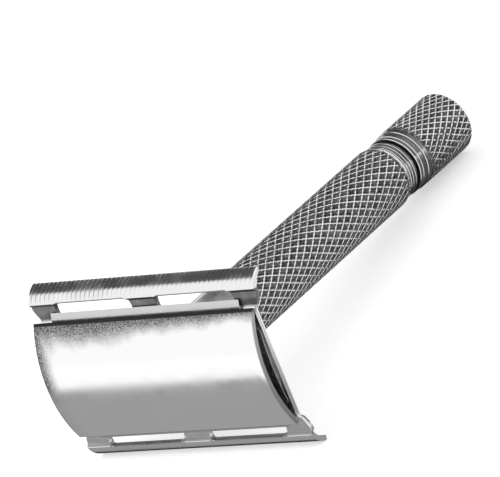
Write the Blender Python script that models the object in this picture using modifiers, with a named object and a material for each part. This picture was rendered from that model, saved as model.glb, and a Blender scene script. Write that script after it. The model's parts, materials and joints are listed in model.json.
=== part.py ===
"""Double-edge safety razor with a twist knob, lying on its guard and its knob.

Every piece is built along the razor's own axis: +Z from the knob's end to the head, +X along the
blade and +Y square to both. The empty razor_pose then lays the razor down, with its origin under
the middle of its box.
"""
import math

import bmesh
import bpy

MM = 0.001

# Clearances between pieces
SEAT_GAP = 0.2 * MM
RUNNING_GAP = 0.2 * MM
HOLE_GAP = 0.3 * MM

# Blade, bowed by the cap; the head's lengths and widths follow it
BLADE_LENGTH = 42.9 * MM
BLADE_WIDTH = 22.0 * MM
BLADE_THICKNESS = 0.1 * MM
BLADE_RING_SPACE = 0.604 * MM
TAB_REACH = 2.85 * MM
TAB_WIDTH = 12.6 * MM
TAB_NICK = 0.6 * MM
TAB_NICK_WIDTH = 1.6 * MM
BLADE_SLOT_WIDTH = 2.3 * MM
CENTRE_HOLE_END_SPACE = 0.8 * MM
CENTRE_HOLE_SIDE_SPACE = 0.55 * MM
FINGER_LENGTH = 1.7 * MM
FINGER_WIDTH = 6.4 * MM
FINGER_PLACE_SHARE = 0.71
DIAMOND_LENGTH = 6.0 * MM
DIAMOND_WIDTH = 7.0 * MM
END_BAR_LENGTH = 1.9 * MM
END_BAR_WIDTH = 7.0 * MM
END_BAR_SPACING = 0.25 * MM
ROUND_TIP_SHARE = 0.55
BLUNT_TIP_SHARE = 0.3

# Cap, an arched plate with square edges
CAP_OVERHANG = 0.15 * MM
BLADE_EXPOSURE = 1.05 * MM
CAP_RISE = 2.65 * MM
CAP_WALL = 0.8 * MM
CAP_EDGE_ROUND = 0.12 * MM

# Base plate, pressed from sheet
PLATE_WALL = 0.8 * MM
WAIST_TUCK = 0.45 * MM
WAIST_INSET = 1.35 * MM
FLARE_INSET = 0.8 * MM
CLAMP_SETBACK = 0.352 * MM
CHANNEL_RAMP = 0.6 * MM
CHANNEL_SPARE = 0.063 * MM
GUARD_OVERHANG = 0.8 * MM
GUARD_SPACE = 1.5 * MM
GUARD_RADIUS = 4.0 * MM
GUARD_START_ANGLE = math.radians(22)
GUARD_END_ANGLE = math.radians(77)
SLOT_START = 2.5 * MM
SLOT_END_INSET = 3.85 * MM
SLOT_WIDTH = 2.8 * MM
SLOT_LAND = 0.05 * MM
SLOT_CORNER_RADIUS = 1.1 * MM
BED_RING_SPACE = 1.8 * MM
BED_END_INSET = 2.65 * MM
BED_WIDTH = 10.8 * MM
BED_RAMP = 1.1 * MM

# Stud and pins under the cap
STUD_RADIUS = 2.4 * MM
THREAD_PITCH = 0.8 * MM
THREAD_DEPTH = 0.42 * MM
THREAD_TURNS = 12
STUD_FLANGE_BAND = 0.6 * MM
STUD_FLANGE_SPACE = 0.404 * MM
PIN_INSET = 8.35 * MM
PIN_RADIUS = 1.5 * MM
PIN_HEAD_BAND = 0.7 * MM
PIN_HEAD_SPACE = 0.614 * MM
PIN_REACH = 1.6 * MM
PIN_CHAMFER = 0.4 * MM

# Handle barrel and its two ends
BARREL_LENGTH = 44.0 * MM
BARREL_WALL = 0.95 * MM
BARREL_TOP_CHAMFER = 0.35 * MM
BARREL_TAPER = 0.95 * MM
NECK_STEP = 0.37 * MM
NECK_LENGTH = 1.9 * MM
SPIGOT_LENGTH = 7.5 * MM
SPIGOT_WALL = 0.65 * MM
COLLAR_LENGTH = 16.2 * MM
COLLAR_EDGE = 0.3 * MM
PLATE_SPIGOT_WALL = 0.8 * MM
PLATE_RING_BAND = 1.1 * MM
PLATE_RING_THICKNESS = 0.6 * MM
PLATE_RING_NOTCH = 1.0 * MM

# Fine turned grooves beside the knob
GROOVE_WIDTH = 0.36 * MM
GROOVE_DEPTH = 0.2 * MM
NECK_GROOVE_PITCH = 0.72 * MM
FINE_EDGE = 0.12 * MM

# Knob
KNOB_LENGTH = 15.45 * MM
KNOB_CHAMFER = 0.5 * MM
KNOB_WEB = 1.2 * MM
KNOB_RING_LENGTH = 1.3 * MM
KNOB_RING_STEP = 0.05 * MM
KNOB_LIP_LENGTH = 2.0 * MM
KNOB_LIP_STEP = 0.21 * MM
KNOB_LIP_GROOVE_DROP = 0.75 * MM
THRUST_WASHER_INSET = 0.33 * MM
THRUST_WASHER_THICKNESS = 0.3 * MM

# Draw rod and what it carries
ROD_RADIUS = 1.85 * MM
SOCKET_WALL = 0.7 * MM
SOCKET_TOP_DROP = 0.4 * MM
SOCKET_SPARE_DEPTH = 0.8 * MM
ROD_SOCKET_DEPTH = 5.6 * MM
CROSS_PIN_RADIUS = 0.6 * MM
CLIP_BAND = 1.45 * MM
CLIP_THICKNESS = 0.6 * MM
CLIP_GROOVE_DEPTH = 0.5 * MM
CLIP_MOUTH = 2.0 * MM
DISC_SPRING_BAND = 1.75 * MM
DISC_SPRING_THICKNESS = 0.25 * MM
DISC_SPRING_CONE = 0.25 * MM
SCREW_RADIUS = 1.05 * MM
SCREW_LENGTH = 5.2 * MM
SCREW_HEAD_BAND = 1.25 * MM
SCREW_HEAD_THICKNESS = 1.1 * MM
SCREW_HEAD_RECESS = 0.3 * MM
SCREW_SLOT_WIDTH = 0.6 * MM
SCREW_SLOT_DEPTH = 0.55 * MM
SCREW_TIP_SPACE = 0.8 * MM

# Mesh density
OUTER_STEPS = 40
INNER_STEPS = 28
SMALL_STEPS = 20
CAP_STEPS = 18
BLADE_STEPS = 14
GUARD_STEPS = 6
BED_ROWS = 3
CORNER_STEPS = 4
THREAD_SIDES = 16
THREAD_ROWS_PER_TURN = 4
THREAD_FIRST_ROW_SHARE = 0.02
HALF_SHARE = 0.5
MERGE_DISTANCE = 0.005 * MM
CUT_OVERRUN = 2.0 * MM

# Radii, each from the piece inside it
STUD_FLANGE_RADIUS = STUD_RADIUS + STUD_FLANGE_BAND
PIN_HEAD_RADIUS = PIN_RADIUS + PIN_HEAD_BAND
SOCKET_RADIUS = STUD_RADIUS + RUNNING_GAP + SOCKET_WALL
COLLAR_BORE = SOCKET_RADIUS + RUNNING_GAP
SPIGOT_RADIUS = COLLAR_BORE + SPIGOT_WALL
BARREL_BORE = SPIGOT_RADIUS + SEAT_GAP
BARREL_RADIUS = BARREL_BORE + BARREL_WALL
NECK_RADIUS = BARREL_RADIUS - NECK_STEP
KNOB_RADIUS = BARREL_RADIUS
KNOB_RING_RADIUS = KNOB_RADIUS - KNOB_RING_STEP
KNOB_LIP_RADIUS = KNOB_RADIUS - KNOB_LIP_STEP
THRUST_WASHER_RADIUS = NECK_RADIUS - THRUST_WASHER_INSET
PLATE_SPIGOT_RADIUS = COLLAR_BORE + PLATE_SPIGOT_WALL
PLATE_RING_RADIUS = PLATE_SPIGOT_RADIUS + SEAT_GAP + PLATE_RING_BAND
CLIP_RADIUS = ROD_RADIUS + CLIP_BAND
DISC_SPRING_RADIUS = ROD_RADIUS + DISC_SPRING_BAND
SCREW_HEAD_RADIUS = SCREW_RADIUS + SCREW_HEAD_BAND

# Lengths and widths of the head, from the blade's
CAP_LENGTH = BLADE_LENGTH + 2 * CAP_OVERHANG
CAP_WIDTH = BLADE_WIDTH - 2 * BLADE_EXPOSURE
CUTTING_EDGE_LENGTH = BLADE_LENGTH - 2 * TAB_REACH
CENTRE_HOLE_LENGTH = 2 * (STUD_RADIUS + CENTRE_HOLE_END_SPACE)
CENTRE_HOLE_WIDTH = 2 * (STUD_RADIUS + CENTRE_HOLE_SIDE_SPACE)
PIN_OFFSET = BLADE_LENGTH / 2 - PIN_INSET
FINGER_ROOM = PIN_OFFSET - DIAMOND_LENGTH / 2 - CENTRE_HOLE_LENGTH / 2
FINGER_OFFSET = CENTRE_HOLE_LENGTH / 2 + FINGER_ROOM * FINGER_PLACE_SHARE
END_BAR_OFFSET = PIN_OFFSET + DIAMOND_LENGTH / 2 + END_BAR_SPACING + END_BAR_LENGTH / 2
PLATE_WAIST_LENGTH = BLADE_LENGTH - 2 * WAIST_TUCK
PLATE_GUARD_LENGTH = BLADE_LENGTH + 2 * GUARD_OVERHANG
PLATE_WAIST_WIDTH = CAP_WIDTH - 2 * WAIST_INSET
GUARD_CREASE_WIDTH = BLADE_WIDTH + 2 * GUARD_SPACE
PLATE_FLARE_WIDTH = GUARD_CREASE_WIDTH - 2 * FLARE_INSET
SLOT_END = BLADE_LENGTH / 2 - SLOT_END_INSET
BED_START = PLATE_RING_RADIUS + BED_RING_SPACE
BED_END = BLADE_LENGTH / 2 - BED_END_INSET

# Lengths of the knob, from its lip down
KNOB_RING_Z = KNOB_LENGTH - KNOB_LIP_LENGTH
KNOB_KNURL_LENGTH = KNOB_RING_Z - KNOB_RING_LENGTH

# Heights along the axis, from the knob's end upward
THRUST_WASHER_Z = KNOB_LENGTH + RUNNING_GAP
BUSH_Z = THRUST_WASHER_Z + THRUST_WASHER_THICKNESS + RUNNING_GAP
BARREL_Z = BUSH_Z + NECK_LENGTH + SEAT_GAP
COLLAR_Z = BARREL_Z + BARREL_LENGTH + SEAT_GAP
PLATE_UNDER_Z = COLLAR_Z + COLLAR_LENGTH + SEAT_GAP
PLATE_TOP_Z = PLATE_UNDER_Z + PLATE_WALL

# The clamp line, where the cap's inner corner presses the blade on the plate
CAP_RADIUS = ((CAP_WIDTH / 2) ** 2 + CAP_RISE ** 2) / (2 * CAP_RISE)
CAP_INNER_RADIUS = CAP_RADIUS - CAP_WALL
CAP_HALF_ANGLE = math.asin(CAP_WIDTH / 2 / CAP_RADIUS)
CLAMP_OFFSET = CAP_INNER_RADIUS * math.sin(CAP_HALF_ANGLE)
CLAMP_Z = PLATE_TOP_Z + SEAT_GAP + BLADE_THICKNESS + SEAT_GAP
CAP_EDGE_Z = CLAMP_Z + CAP_WALL * math.cos(CAP_HALF_ANGLE)
CAP_CROWN_Z = CAP_EDGE_Z + CAP_RISE
CAP_AXIS_Z = CAP_CROWN_Z - CAP_RADIUS


def arc_drop(radius, offset):
    """How far an arc falls below its crown at a distance from its middle."""
    return radius - math.sqrt(radius ** 2 - offset ** 2)


# The blade's bow, from the clamp line up over the plate's ring
PLATE_RING_Z = PLATE_TOP_Z + SEAT_GAP
BLADE_CROWN_Z = PLATE_RING_Z + PLATE_RING_THICKNESS + BLADE_RING_SPACE + BLADE_THICKNESS / 2
BLADE_TOP_Z = BLADE_CROWN_Z + BLADE_THICKNESS / 2
BLADE_RISE = BLADE_TOP_Z + SEAT_GAP - CLAMP_Z
BLADE_BOW_RADIUS = (CLAMP_OFFSET ** 2 + BLADE_RISE ** 2) / (2 * BLADE_RISE)
BLADE_HALF_ANGLE = BLADE_WIDTH / 2 / BLADE_BOW_RADIUS
BLADE_EDGE_Y = BLADE_BOW_RADIUS * math.sin(BLADE_HALF_ANGLE)
BLADE_EDGE_FALL = arc_drop(BLADE_BOW_RADIUS, BLADE_EDGE_Y) - arc_drop(BLADE_BOW_RADIUS, CLAMP_OFFSET)
BED_CROWN_Z = BLADE_CROWN_Z - BLADE_THICKNESS / 2 - SEAT_GAP
CHANNEL_START_Y = CLAMP_OFFSET - CLAMP_SETBACK
CHANNEL_DEPTH = BLADE_EDGE_FALL + CHANNEL_SPARE
GUARD_CREASE_Y = GUARD_CREASE_WIDTH / 2
GUARD_REACH = GUARD_RADIUS * (math.sin(GUARD_END_ANGLE) - math.sin(GUARD_START_ANGLE))
GUARD_FALL = GUARD_RADIUS * (math.cos(GUARD_START_ANGLE) - math.cos(GUARD_END_ANGLE))
GUARD_LIP_Y = GUARD_CREASE_Y + GUARD_REACH
GUARD_LIP_Z = PLATE_TOP_Z - GUARD_FALL

# How the razor lies: guard lip and knob rim on the table
LYING_TILT = math.atan2(GUARD_LIP_Y - KNOB_RADIUS, GUARD_LIP_Z - KNOB_CHAMFER)
LYING_HEIGHT = GUARD_LIP_Y * math.cos(LYING_TILT) - GUARD_LIP_Z * math.sin(LYING_TILT)
HEAD_REACH = CAP_AXIS_Z * math.cos(LYING_TILT) + CAP_RADIUS
TAIL_REACH = (KNOB_RADIUS - KNOB_CHAMFER) * math.sin(LYING_TILT)
LYING_SHIFT = (HEAD_REACH - TAIL_REACH) / 2


def clear_scene():
    """Start from an empty scene."""
    for item in list(bpy.data.objects):
        bpy.data.objects.remove(item, do_unlink=True)


def new_collection(name):
    """A collection linked to the scene."""
    collection = bpy.data.collections.new(name)
    bpy.context.scene.collection.children.link(collection)
    return collection


clear_scene()
PARTS = new_collection("safety_razor")
CUTTERS = new_collection("cutters")


def new_material(name, colour, roughness):
    """A metal with its own colour and roughness."""
    material = bpy.data.materials.new(name)
    material.use_nodes = True
    shader = material.node_tree.nodes["Principled BSDF"]
    shader.inputs["Base Color"].default_value = (*colour, 1.0)
    shader.inputs["Roughness"].default_value = roughness
    shader.inputs["Metallic"].default_value = 1.0
    return material


def new_empty(name, parent=None, height=0.0):
    """A frame on the razor's axis that pieces hang from."""
    empty = bpy.data.objects.new(name, None)
    PARTS.objects.link(empty)
    empty.parent = parent
    empty.location.z = height
    return empty


def add_piece(name, mesh, finish, parent, height=0.0, across=0.0):
    """Put a mesh in the scene as a named piece, at a height on the axis and a distance along X."""
    piece = bpy.data.objects.new(name, mesh)
    PARTS.objects.link(piece)
    piece.parent = parent
    piece.location = (across, 0.0, height - parent.location.z)
    mesh.materials.append(new_material(name, *finish))
    return piece


def add_cutter(name, mesh, parent, location=(0.0, 0.0, 0.0)):
    """Put a mesh in the scene as a hidden cutter."""
    cutter = bpy.data.objects.new(name, mesh)
    CUTTERS.objects.link(cutter)
    cutter.parent = parent
    cutter.location = location
    cutter.hide_render = True
    cutter.display_type = "WIRE"
    return cutter


def cut(piece, cutter):
    """Take the cutter's shape out of the piece."""
    boolean = piece.modifiers.new(cutter.name, "BOOLEAN")
    boolean.operation = "DIFFERENCE"
    boolean.object = cutter


def mesh_from(build_shape, name):
    """A mesh filled by a function that shapes a bmesh."""
    shape = bmesh.new()
    build_shape(shape)
    mesh = bpy.data.meshes.new(name)
    shape.to_mesh(mesh)
    shape.free()
    return mesh


def turned(name, profile, finish, parent, height, steps, across=0.0):
    """Turn a profile of (radius, height) points about the piece's own Z.

    The profile runs down its outer side. It is a closed ring, or it starts and ends on the axis.
    """
    points = [(radius, 0.0, level) for radius, level in profile]
    edges = [(index, index + 1) for index in range(len(points) - 1)]
    if profile[0][0] > 0.0:
        edges.append((len(points) - 1, 0))
    mesh = bpy.data.meshes.new(name)
    mesh.from_pydata(points, edges, [])
    piece = add_piece(name, mesh, finish, parent, height, across)
    screw = piece.modifiers.new("turn", "SCREW")
    screw.axis = "Z"
    screw.angle = math.tau
    screw.steps = steps
    screw.render_steps = steps
    screw.use_merge_vertices = True
    screw.merge_threshold = MERGE_DISTANCE
    screw.use_smooth_shade = True
    return piece


def cylinder_mesh(name, radius, length, steps):
    """A closed cylinder centred on its own origin."""
    def build_shape(shape):
        bmesh.ops.create_cone(shape, cap_ends=True, segments=steps, radius1=radius, radius2=radius,
                              depth=length)
    return mesh_from(build_shape, name)


def box_mesh(name, size):
    """A closed box centred on its own origin."""
    def build_shape(shape):
        bmesh.ops.create_cube(shape, size=1.0)
        bmesh.ops.scale(shape, vec=size, verts=shape.verts)
    return mesh_from(build_shape, name)


def outline_mesh(name, loops, depth):
    """Closed flat outlines, filled and made a depth thick, as one mesh."""
    curve = bpy.data.curves.new(name, "CURVE")
    curve.dimensions = "2D"
    curve.fill_mode = "BOTH"
    curve.extrude = depth / 2
    for loop in loops:
        spline = curve.splines.new("POLY")
        spline.points.add(len(loop) - 1)
        for point, (x, y) in zip(spline.points, loop):
            point.co = (x, y, 0.0, 1.0)
        spline.use_cyclic_u = True
    holder = bpy.data.objects.new(name, curve)
    CUTTERS.objects.link(holder)
    graph = bpy.context.evaluated_depsgraph_get()
    mesh = bpy.data.meshes.new_from_object(holder.evaluated_get(graph))
    bpy.data.objects.remove(holder, do_unlink=True)
    shape = bmesh.new()
    shape.from_mesh(mesh)
    bmesh.ops.remove_doubles(shape, verts=shape.verts, dist=MERGE_DISTANCE)
    shape.to_mesh(mesh)
    shape.free()
    return mesh


def mirrored(loop):
    """The same outline on the other side of the Y axis, still anticlockwise."""
    return [(-x, y) for x, y in reversed(loop)]


def flipped(loop):
    """The same outline on the other side of the X axis, still anticlockwise."""
    return [(x, -y) for x, y in reversed(loop)]


def rounded_rectangle(x_low, x_high, y_low, y_high, radius):
    """An anticlockwise rectangle outline with quarter-round corners."""
    corners = [(x_high - radius, y_high - radius), (x_low + radius, y_high - radius),
               (x_low + radius, y_low + radius), (x_high - radius, y_low + radius)]
    outline = []
    for quarter, (x, y) in enumerate(corners):
        for step in range(CORNER_STEPS + 1):
            angle = math.pi / 2 * (quarter + step / CORNER_STEPS)
            outline.append((x + radius * math.cos(angle), y + radius * math.sin(angle)))
    return outline


def arched_sheet(name, length, radius, half_width_angle, steps, finish, parent, height):
    """An open sheet that bends about an axis along X, with its crown at the given height."""
    def build_shape(shape):
        bmesh.ops.create_grid(shape, x_segments=1, y_segments=steps, size=1.0)
        for point in shape.verts:
            angle = point.co.y * half_width_angle
            point.co.x *= length / 2
            point.co.y = radius * math.sin(angle)
            point.co.z = radius * math.cos(angle) - radius
    return add_piece(name, mesh_from(build_shape, name), finish, parent, height)


def thicken(piece, wall, offset):
    """Give an open sheet its wall: offset -1 keeps the sheet as the outer face, 0 as the middle."""
    solid = piece.modifiers.new("wall", "SOLIDIFY")
    solid.thickness = wall
    solid.offset = offset
    solid.use_even_offset = True


CHROME = ((0.72, 0.72, 0.73), 0.12)
POLISHED_CAP = ((0.80, 0.80, 0.81), 0.08)
BLADE_STEEL = ((0.66, 0.67, 0.68), 0.25)
DARK_STEEL = ((0.30, 0.30, 0.31), 0.30)
BRASS = ((0.72, 0.56, 0.28), 0.30)
SPRING_STEEL = ((0.42, 0.43, 0.45), 0.35)


def make_cap(body):
    """The arched cap, whose two long edges press the blade down."""
    cap = arched_sheet("cap_shell", CAP_LENGTH, CAP_RADIUS, CAP_HALF_ANGLE, CAP_STEPS,
                       POLISHED_CAP, body, CAP_CROWN_Z)
    thicken(cap, CAP_WALL, -1.0)
    rim = cap.modifiers.new("rim", "BEVEL")
    rim.width = CAP_EDGE_ROUND
    rim.segments = 1
    rim.limit_method = "ANGLE"
    cap.data.shade_smooth()
    cap.data.set_sharp_from_angle(angle=math.radians(30))


def under_cap(offset):
    """Height of a flat-topped boss of this half width that nests under the cap."""
    return CAP_AXIS_Z + CAP_INNER_RADIUS - arc_drop(CAP_INNER_RADIUS, offset) - SEAT_GAP


SOCKET_TOP_Z = PLATE_TOP_Z - SOCKET_TOP_DROP
THREAD_LENGTH = THREAD_TURNS * THREAD_PITCH
STUD_END_Z = SOCKET_TOP_Z - THREAD_LENGTH
STUD_TOP_Z = under_cap(STUD_FLANGE_RADIUS)
STUD_LENGTH = STUD_TOP_Z - STUD_END_Z
STUD_FLANGE_THICKNESS = STUD_TOP_Z - BLADE_TOP_Z - STUD_FLANGE_SPACE


def stud_radius(level, angle):
    """The stud's radius at a level below its top: flange, then a right-hand thread of V section."""
    if level <= STUD_FLANGE_THICKNESS:
        return STUD_FLANGE_RADIUS
    turns = (level + THREAD_PITCH * angle / math.tau) / THREAD_PITCH
    height = abs(2 * (turns % 1.0) - 1)
    return STUD_RADIUS - THREAD_DEPTH * height


def make_stud(body):
    """The cap's threaded stud with its flange, closed at both ends."""
    rows = round((STUD_LENGTH - STUD_FLANGE_THICKNESS) / THREAD_PITCH * THREAD_ROWS_PER_TURN)
    row_height = (STUD_LENGTH - STUD_FLANGE_THICKNESS) / rows
    levels = [0.0, STUD_FLANGE_THICKNESS]
    levels += [STUD_FLANGE_THICKNESS + row_height * (row + THREAD_FIRST_ROW_SHARE) for row in range(rows)]
    levels.append(STUD_LENGTH)

    def build_shape(shape):
        bmesh.ops.create_grid(shape, x_segments=THREAD_SIDES, y_segments=len(levels) - 1, size=HALF_SHARE)
        for point in shape.verts:
            level = levels[round((HALF_SHARE - point.co.y) * (len(levels) - 1))]
            angle = point.co.x * math.tau
            radius = stud_radius(level, angle)
            point.co = (radius * math.cos(angle), radius * math.sin(angle), STUD_LENGTH - level)
        bmesh.ops.remove_doubles(shape, verts=shape.verts, dist=MERGE_DISTANCE)
        bmesh.ops.holes_fill(shape, edges=[edge for edge in shape.edges if edge.is_boundary])
        bmesh.ops.recalc_face_normals(shape, faces=shape.faces)
    add_piece("cap_stud", mesh_from(build_shape, "cap_stud"), CHROME, body, STUD_END_Z)


PIN_TOP_Z = under_cap(PIN_HEAD_RADIUS)
PIN_END_Z = PLATE_UNDER_Z - PIN_REACH
PIN_LENGTH = PIN_TOP_Z - PIN_END_Z
PIN_HEAD_THICKNESS = PIN_TOP_Z - BLADE_TOP_Z - PIN_HEAD_SPACE


def make_index_pins(body):
    """Two pins under the cap that pass through the blade and the plate, so the cap can't turn."""
    profile = [(0.0, PIN_LENGTH), (PIN_HEAD_RADIUS, PIN_LENGTH),
               (PIN_HEAD_RADIUS, PIN_LENGTH - PIN_HEAD_THICKNESS),
               (PIN_RADIUS, PIN_LENGTH - PIN_HEAD_THICKNESS),
               (PIN_RADIUS, PIN_CHAMFER), (PIN_RADIUS - PIN_CHAMFER, 0.0), (0.0, 0.0)]
    for side, across in (("left", -PIN_OFFSET), ("right", PIN_OFFSET)):
        turned("index_pin_" + side, profile, CHROME, body, PIN_END_Z, SMALL_STEPS, across)


def bar_outline(middle, length, width):
    """The upper edge of a cross bar with rounded corners, up to its far side."""
    half = length / 2
    shoulder = width / 2 - half * ROUND_TIP_SHARE
    return [(middle - half, BLADE_SLOT_WIDTH / 2), (middle - half, shoulder),
            (middle - half * ROUND_TIP_SHARE, width / 2), (middle + half * ROUND_TIP_SHARE, width / 2),
            (middle + half, shoulder)]


def diamond_outline(middle, length, width):
    """The upper edge of a diamond with a blunt tip."""
    half = length / 2
    return [(middle - half, BLADE_SLOT_WIDTH / 2), (middle - half * BLUNT_TIP_SHARE, width / 2),
            (middle + half * BLUNT_TIP_SHARE, width / 2), (middle + half, BLADE_SLOT_WIDTH / 2)]


def quarter_slot():
    """The blade's cut-out from the middle to its end, on the +X +Y quarter."""
    points = diamond_outline(0.0, CENTRE_HOLE_LENGTH, CENTRE_HOLE_WIDTH)[2:]
    points += bar_outline(FINGER_OFFSET, FINGER_LENGTH, FINGER_WIDTH)
    points.append((FINGER_OFFSET + FINGER_LENGTH / 2, BLADE_SLOT_WIDTH / 2))
    points += diamond_outline(PIN_OFFSET, DIAMOND_LENGTH, DIAMOND_WIDTH)
    points += bar_outline(END_BAR_OFFSET, END_BAR_LENGTH, END_BAR_WIDTH)
    return points


def make_blade(body):
    """The blade, bowed between cap and plate, with its centre slot and its four notched corners."""
    blade = arched_sheet("blade", BLADE_LENGTH, BLADE_BOW_RADIUS, BLADE_HALF_ANGLE, BLADE_STEPS,
                         BLADE_STEEL, body, BLADE_CROWN_Z)
    thicken(blade, BLADE_THICKNESS, 0.0)
    quarter = quarter_slot()
    upper = quarter[::-1] + [(-x, y) for x, y in quarter]
    slot = upper + [(x, -y) for x, y in reversed(upper)]
    edge = CUTTING_EDGE_LENGTH / 2
    outside_x = BLADE_LENGTH / 2 + CUT_OVERRUN
    outside_y = BLADE_WIDTH / 2 + CUT_OVERRUN
    corner = [(edge - TAB_NICK, TAB_WIDTH / 2), (outside_x, TAB_WIDTH / 2), (outside_x, outside_y),
              (edge, outside_y), (edge, TAB_WIDTH / 2 + TAB_NICK_WIDTH + TAB_NICK),
              (edge - TAB_NICK, TAB_WIDTH / 2 + TAB_NICK_WIDTH)]
    loops = [slot, corner, mirrored(corner), flipped(corner), flipped(mirrored(corner))]
    depth = 2 * (CUT_OVERRUN + arc_drop(BLADE_BOW_RADIUS, BLADE_WIDTH / 2))
    cutter = add_cutter("blade_outline_cutter", outline_mesh("blade_outline", loops, depth), body,
                        (0.0, 0.0, BLADE_CROWN_Z - body.location.z))
    cut(blade, cutter)


def plate_half_length(y):
    """Half the plate's length at a distance from its middle: waisted, then flared to the guard."""
    low, high = PLATE_WAIST_WIDTH / 2, PLATE_FLARE_WIDTH / 2
    share = min(max((y - low) / (high - low), 0.0), 1.0)
    ease = share * share * (3 - 2 * share)
    return (PLATE_WAIST_LENGTH + (PLATE_GUARD_LENGTH - PLATE_WAIST_LENGTH) * ease) / 2


def plate_section():
    """The plate's top face from the middle outward: points of (y, height over the flat).

    Outside the line that the blade is clamped on, a shallow channel leaves room for its edge.
    """
    points = []
    for row in range(BED_ROWS + 1):
        points.append((BED_WIDTH / 2 * row / BED_ROWS, 0.0))
    channel = CHANNEL_START_Y + CHANNEL_RAMP
    guard_foot = GUARD_CREASE_Y - CHANNEL_RAMP
    points += [(BED_WIDTH / 2 + BED_RAMP, 0.0), (PLATE_WAIST_WIDTH / 2, 0.0), (CHANNEL_START_Y, 0.0)]
    points += [(y, -CHANNEL_DEPTH) for y in (channel, (channel + guard_foot) / 2, guard_foot)]
    for step in range(GUARD_STEPS + 1):
        angle = GUARD_START_ANGLE + (GUARD_END_ANGLE - GUARD_START_ANGLE) * step / GUARD_STEPS
        points.append((GUARD_CREASE_Y + GUARD_RADIUS * (math.sin(angle) - math.sin(GUARD_START_ANGLE)),
                       GUARD_RADIUS * (math.cos(angle) - math.cos(GUARD_START_ANGLE))))
    return points


def make_base_plate(body):
    """The pressed base plate: waisted flat, two raised blade beds, guards, slots and holes."""
    section = plate_section()
    columns = [0.0, BED_START, BED_START + BED_RAMP, BED_END - BED_RAMP, BED_END]

    def build_shape(shape):
        bmesh.ops.create_grid(shape, x_segments=len(columns), y_segments=len(section) - 1, size=HALF_SHARE)
        for point in shape.verts:
            column = round((point.co.x + HALF_SHARE) * len(columns))
            row = round((point.co.y + HALF_SHARE) * (len(section) - 1))
            y, z = section[row]
            x = columns[column] if column < len(columns) else plate_half_length(y)
            if column in (2, 3) and row <= BED_ROWS:
                z = BED_CROWN_Z - PLATE_TOP_Z - arc_drop(BLADE_BOW_RADIUS, y)
            point.co = (x, y, z)
    plate = add_piece("base_plate", mesh_from(build_shape, "base_plate"), CHROME, body, PLATE_TOP_Z)
    halves = plate.modifiers.new("halves", "MIRROR")
    halves.use_axis = (True, True, False)
    halves.merge_threshold = MERGE_DISTANCE
    thicken(plate, PLATE_WALL, -1.0)

    depth = 2 * (GUARD_FALL + CUT_OVERRUN)
    centre = (0.0, 0.0, PLATE_TOP_Z - body.location.z)
    slot_outer = GUARD_CREASE_Y - SLOT_LAND
    slot = rounded_rectangle(SLOT_START, SLOT_END, slot_outer - SLOT_WIDTH, slot_outer, SLOT_CORNER_RADIUS)
    loops = [slot, mirrored(slot), flipped(slot), flipped(mirrored(slot))]
    cut(plate, add_cutter("lather_slot_cutter", outline_mesh("lather_slots", loops, depth), body, centre))
    spigot_hole = cylinder_mesh("spigot_hole", PLATE_SPIGOT_RADIUS + SEAT_GAP, depth, INNER_STEPS)
    cut(plate, add_cutter("spigot_hole_cutter", spigot_hole, body, centre))
    for side, across in (("left", -PIN_OFFSET), ("right", PIN_OFFSET)):
        pin_hole = cylinder_mesh("pin_hole_" + side, PIN_RADIUS + HOLE_GAP, depth, SMALL_STEPS)
        cut(plate, add_cutter("pin_hole_cutter_" + side, pin_hole, body, (across, 0.0, centre[2])))


def make_plate_ring(body):
    """The notched ring that holds the plate down on the collar's spigot."""
    bore = PLATE_SPIGOT_RADIUS + SEAT_GAP
    profile = [(bore, PLATE_RING_THICKNESS), (PLATE_RING_RADIUS, PLATE_RING_THICKNESS),
               (PLATE_RING_RADIUS, 0.0), (bore, 0.0)]
    ring = turned("plate_ring", profile, CHROME, body, PLATE_RING_Z, OUTER_STEPS)
    notch_length = 2 * (PLATE_RING_RADIUS + CUT_OVERRUN)
    notch = box_mesh("ring_notch", (notch_length, PLATE_RING_NOTCH, PLATE_RING_THICKNESS))
    cut(ring, add_cutter("ring_notch_cutter", notch, body,
                         (0.0, 0.0, PLATE_RING_Z + PLATE_RING_THICKNESS - body.location.z)))


def make_collar(body):
    """The smooth collar between barrel and plate, with a spigot into each."""
    low, top = SPIGOT_LENGTH, SPIGOT_LENGTH + COLLAR_LENGTH
    spigot_top = top + SEAT_GAP + PLATE_WALL + SEAT_GAP + PLATE_RING_THICKNESS
    profile = [(COLLAR_BORE, spigot_top), (PLATE_SPIGOT_RADIUS, spigot_top), (PLATE_SPIGOT_RADIUS, top),
               (BARREL_RADIUS - COLLAR_EDGE, top), (BARREL_RADIUS, top - COLLAR_EDGE),
               (BARREL_RADIUS, low + FINE_EDGE), (BARREL_RADIUS - FINE_EDGE, low),
               (SPIGOT_RADIUS, low), (SPIGOT_RADIUS, 0.0), (COLLAR_BORE, 0.0)]
    turned("head_collar", profile, CHROME, body, COLLAR_Z - SPIGOT_LENGTH, OUTER_STEPS)


def make_barrel(body):
    """The handle's barrel, a tube with a chamfer at the head end and a taper at the knob end."""
    profile = [(BARREL_BORE, BARREL_LENGTH), (BARREL_RADIUS - BARREL_TOP_CHAMFER, BARREL_LENGTH),
               (BARREL_RADIUS, BARREL_LENGTH - BARREL_TOP_CHAMFER), (BARREL_RADIUS, BARREL_TAPER),
               (NECK_RADIUS, 0.0), (BARREL_BORE, 0.0)]
    turned("handle_barrel", profile, CHROME, body, BARREL_Z, OUTER_STEPS)


def groove(radius, level, radius_below=None):
    """A V groove round a turned piece, from top to bottom."""
    return [(radius, level + GROOVE_WIDTH / 2), (radius - GROOVE_DEPTH, level),
            (radius_below or radius, level - GROOVE_WIDTH / 2)]


BUSH_HEIGHT = NECK_LENGTH + SPIGOT_LENGTH
ROD_BORE = ROD_RADIUS + RUNNING_GAP


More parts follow.
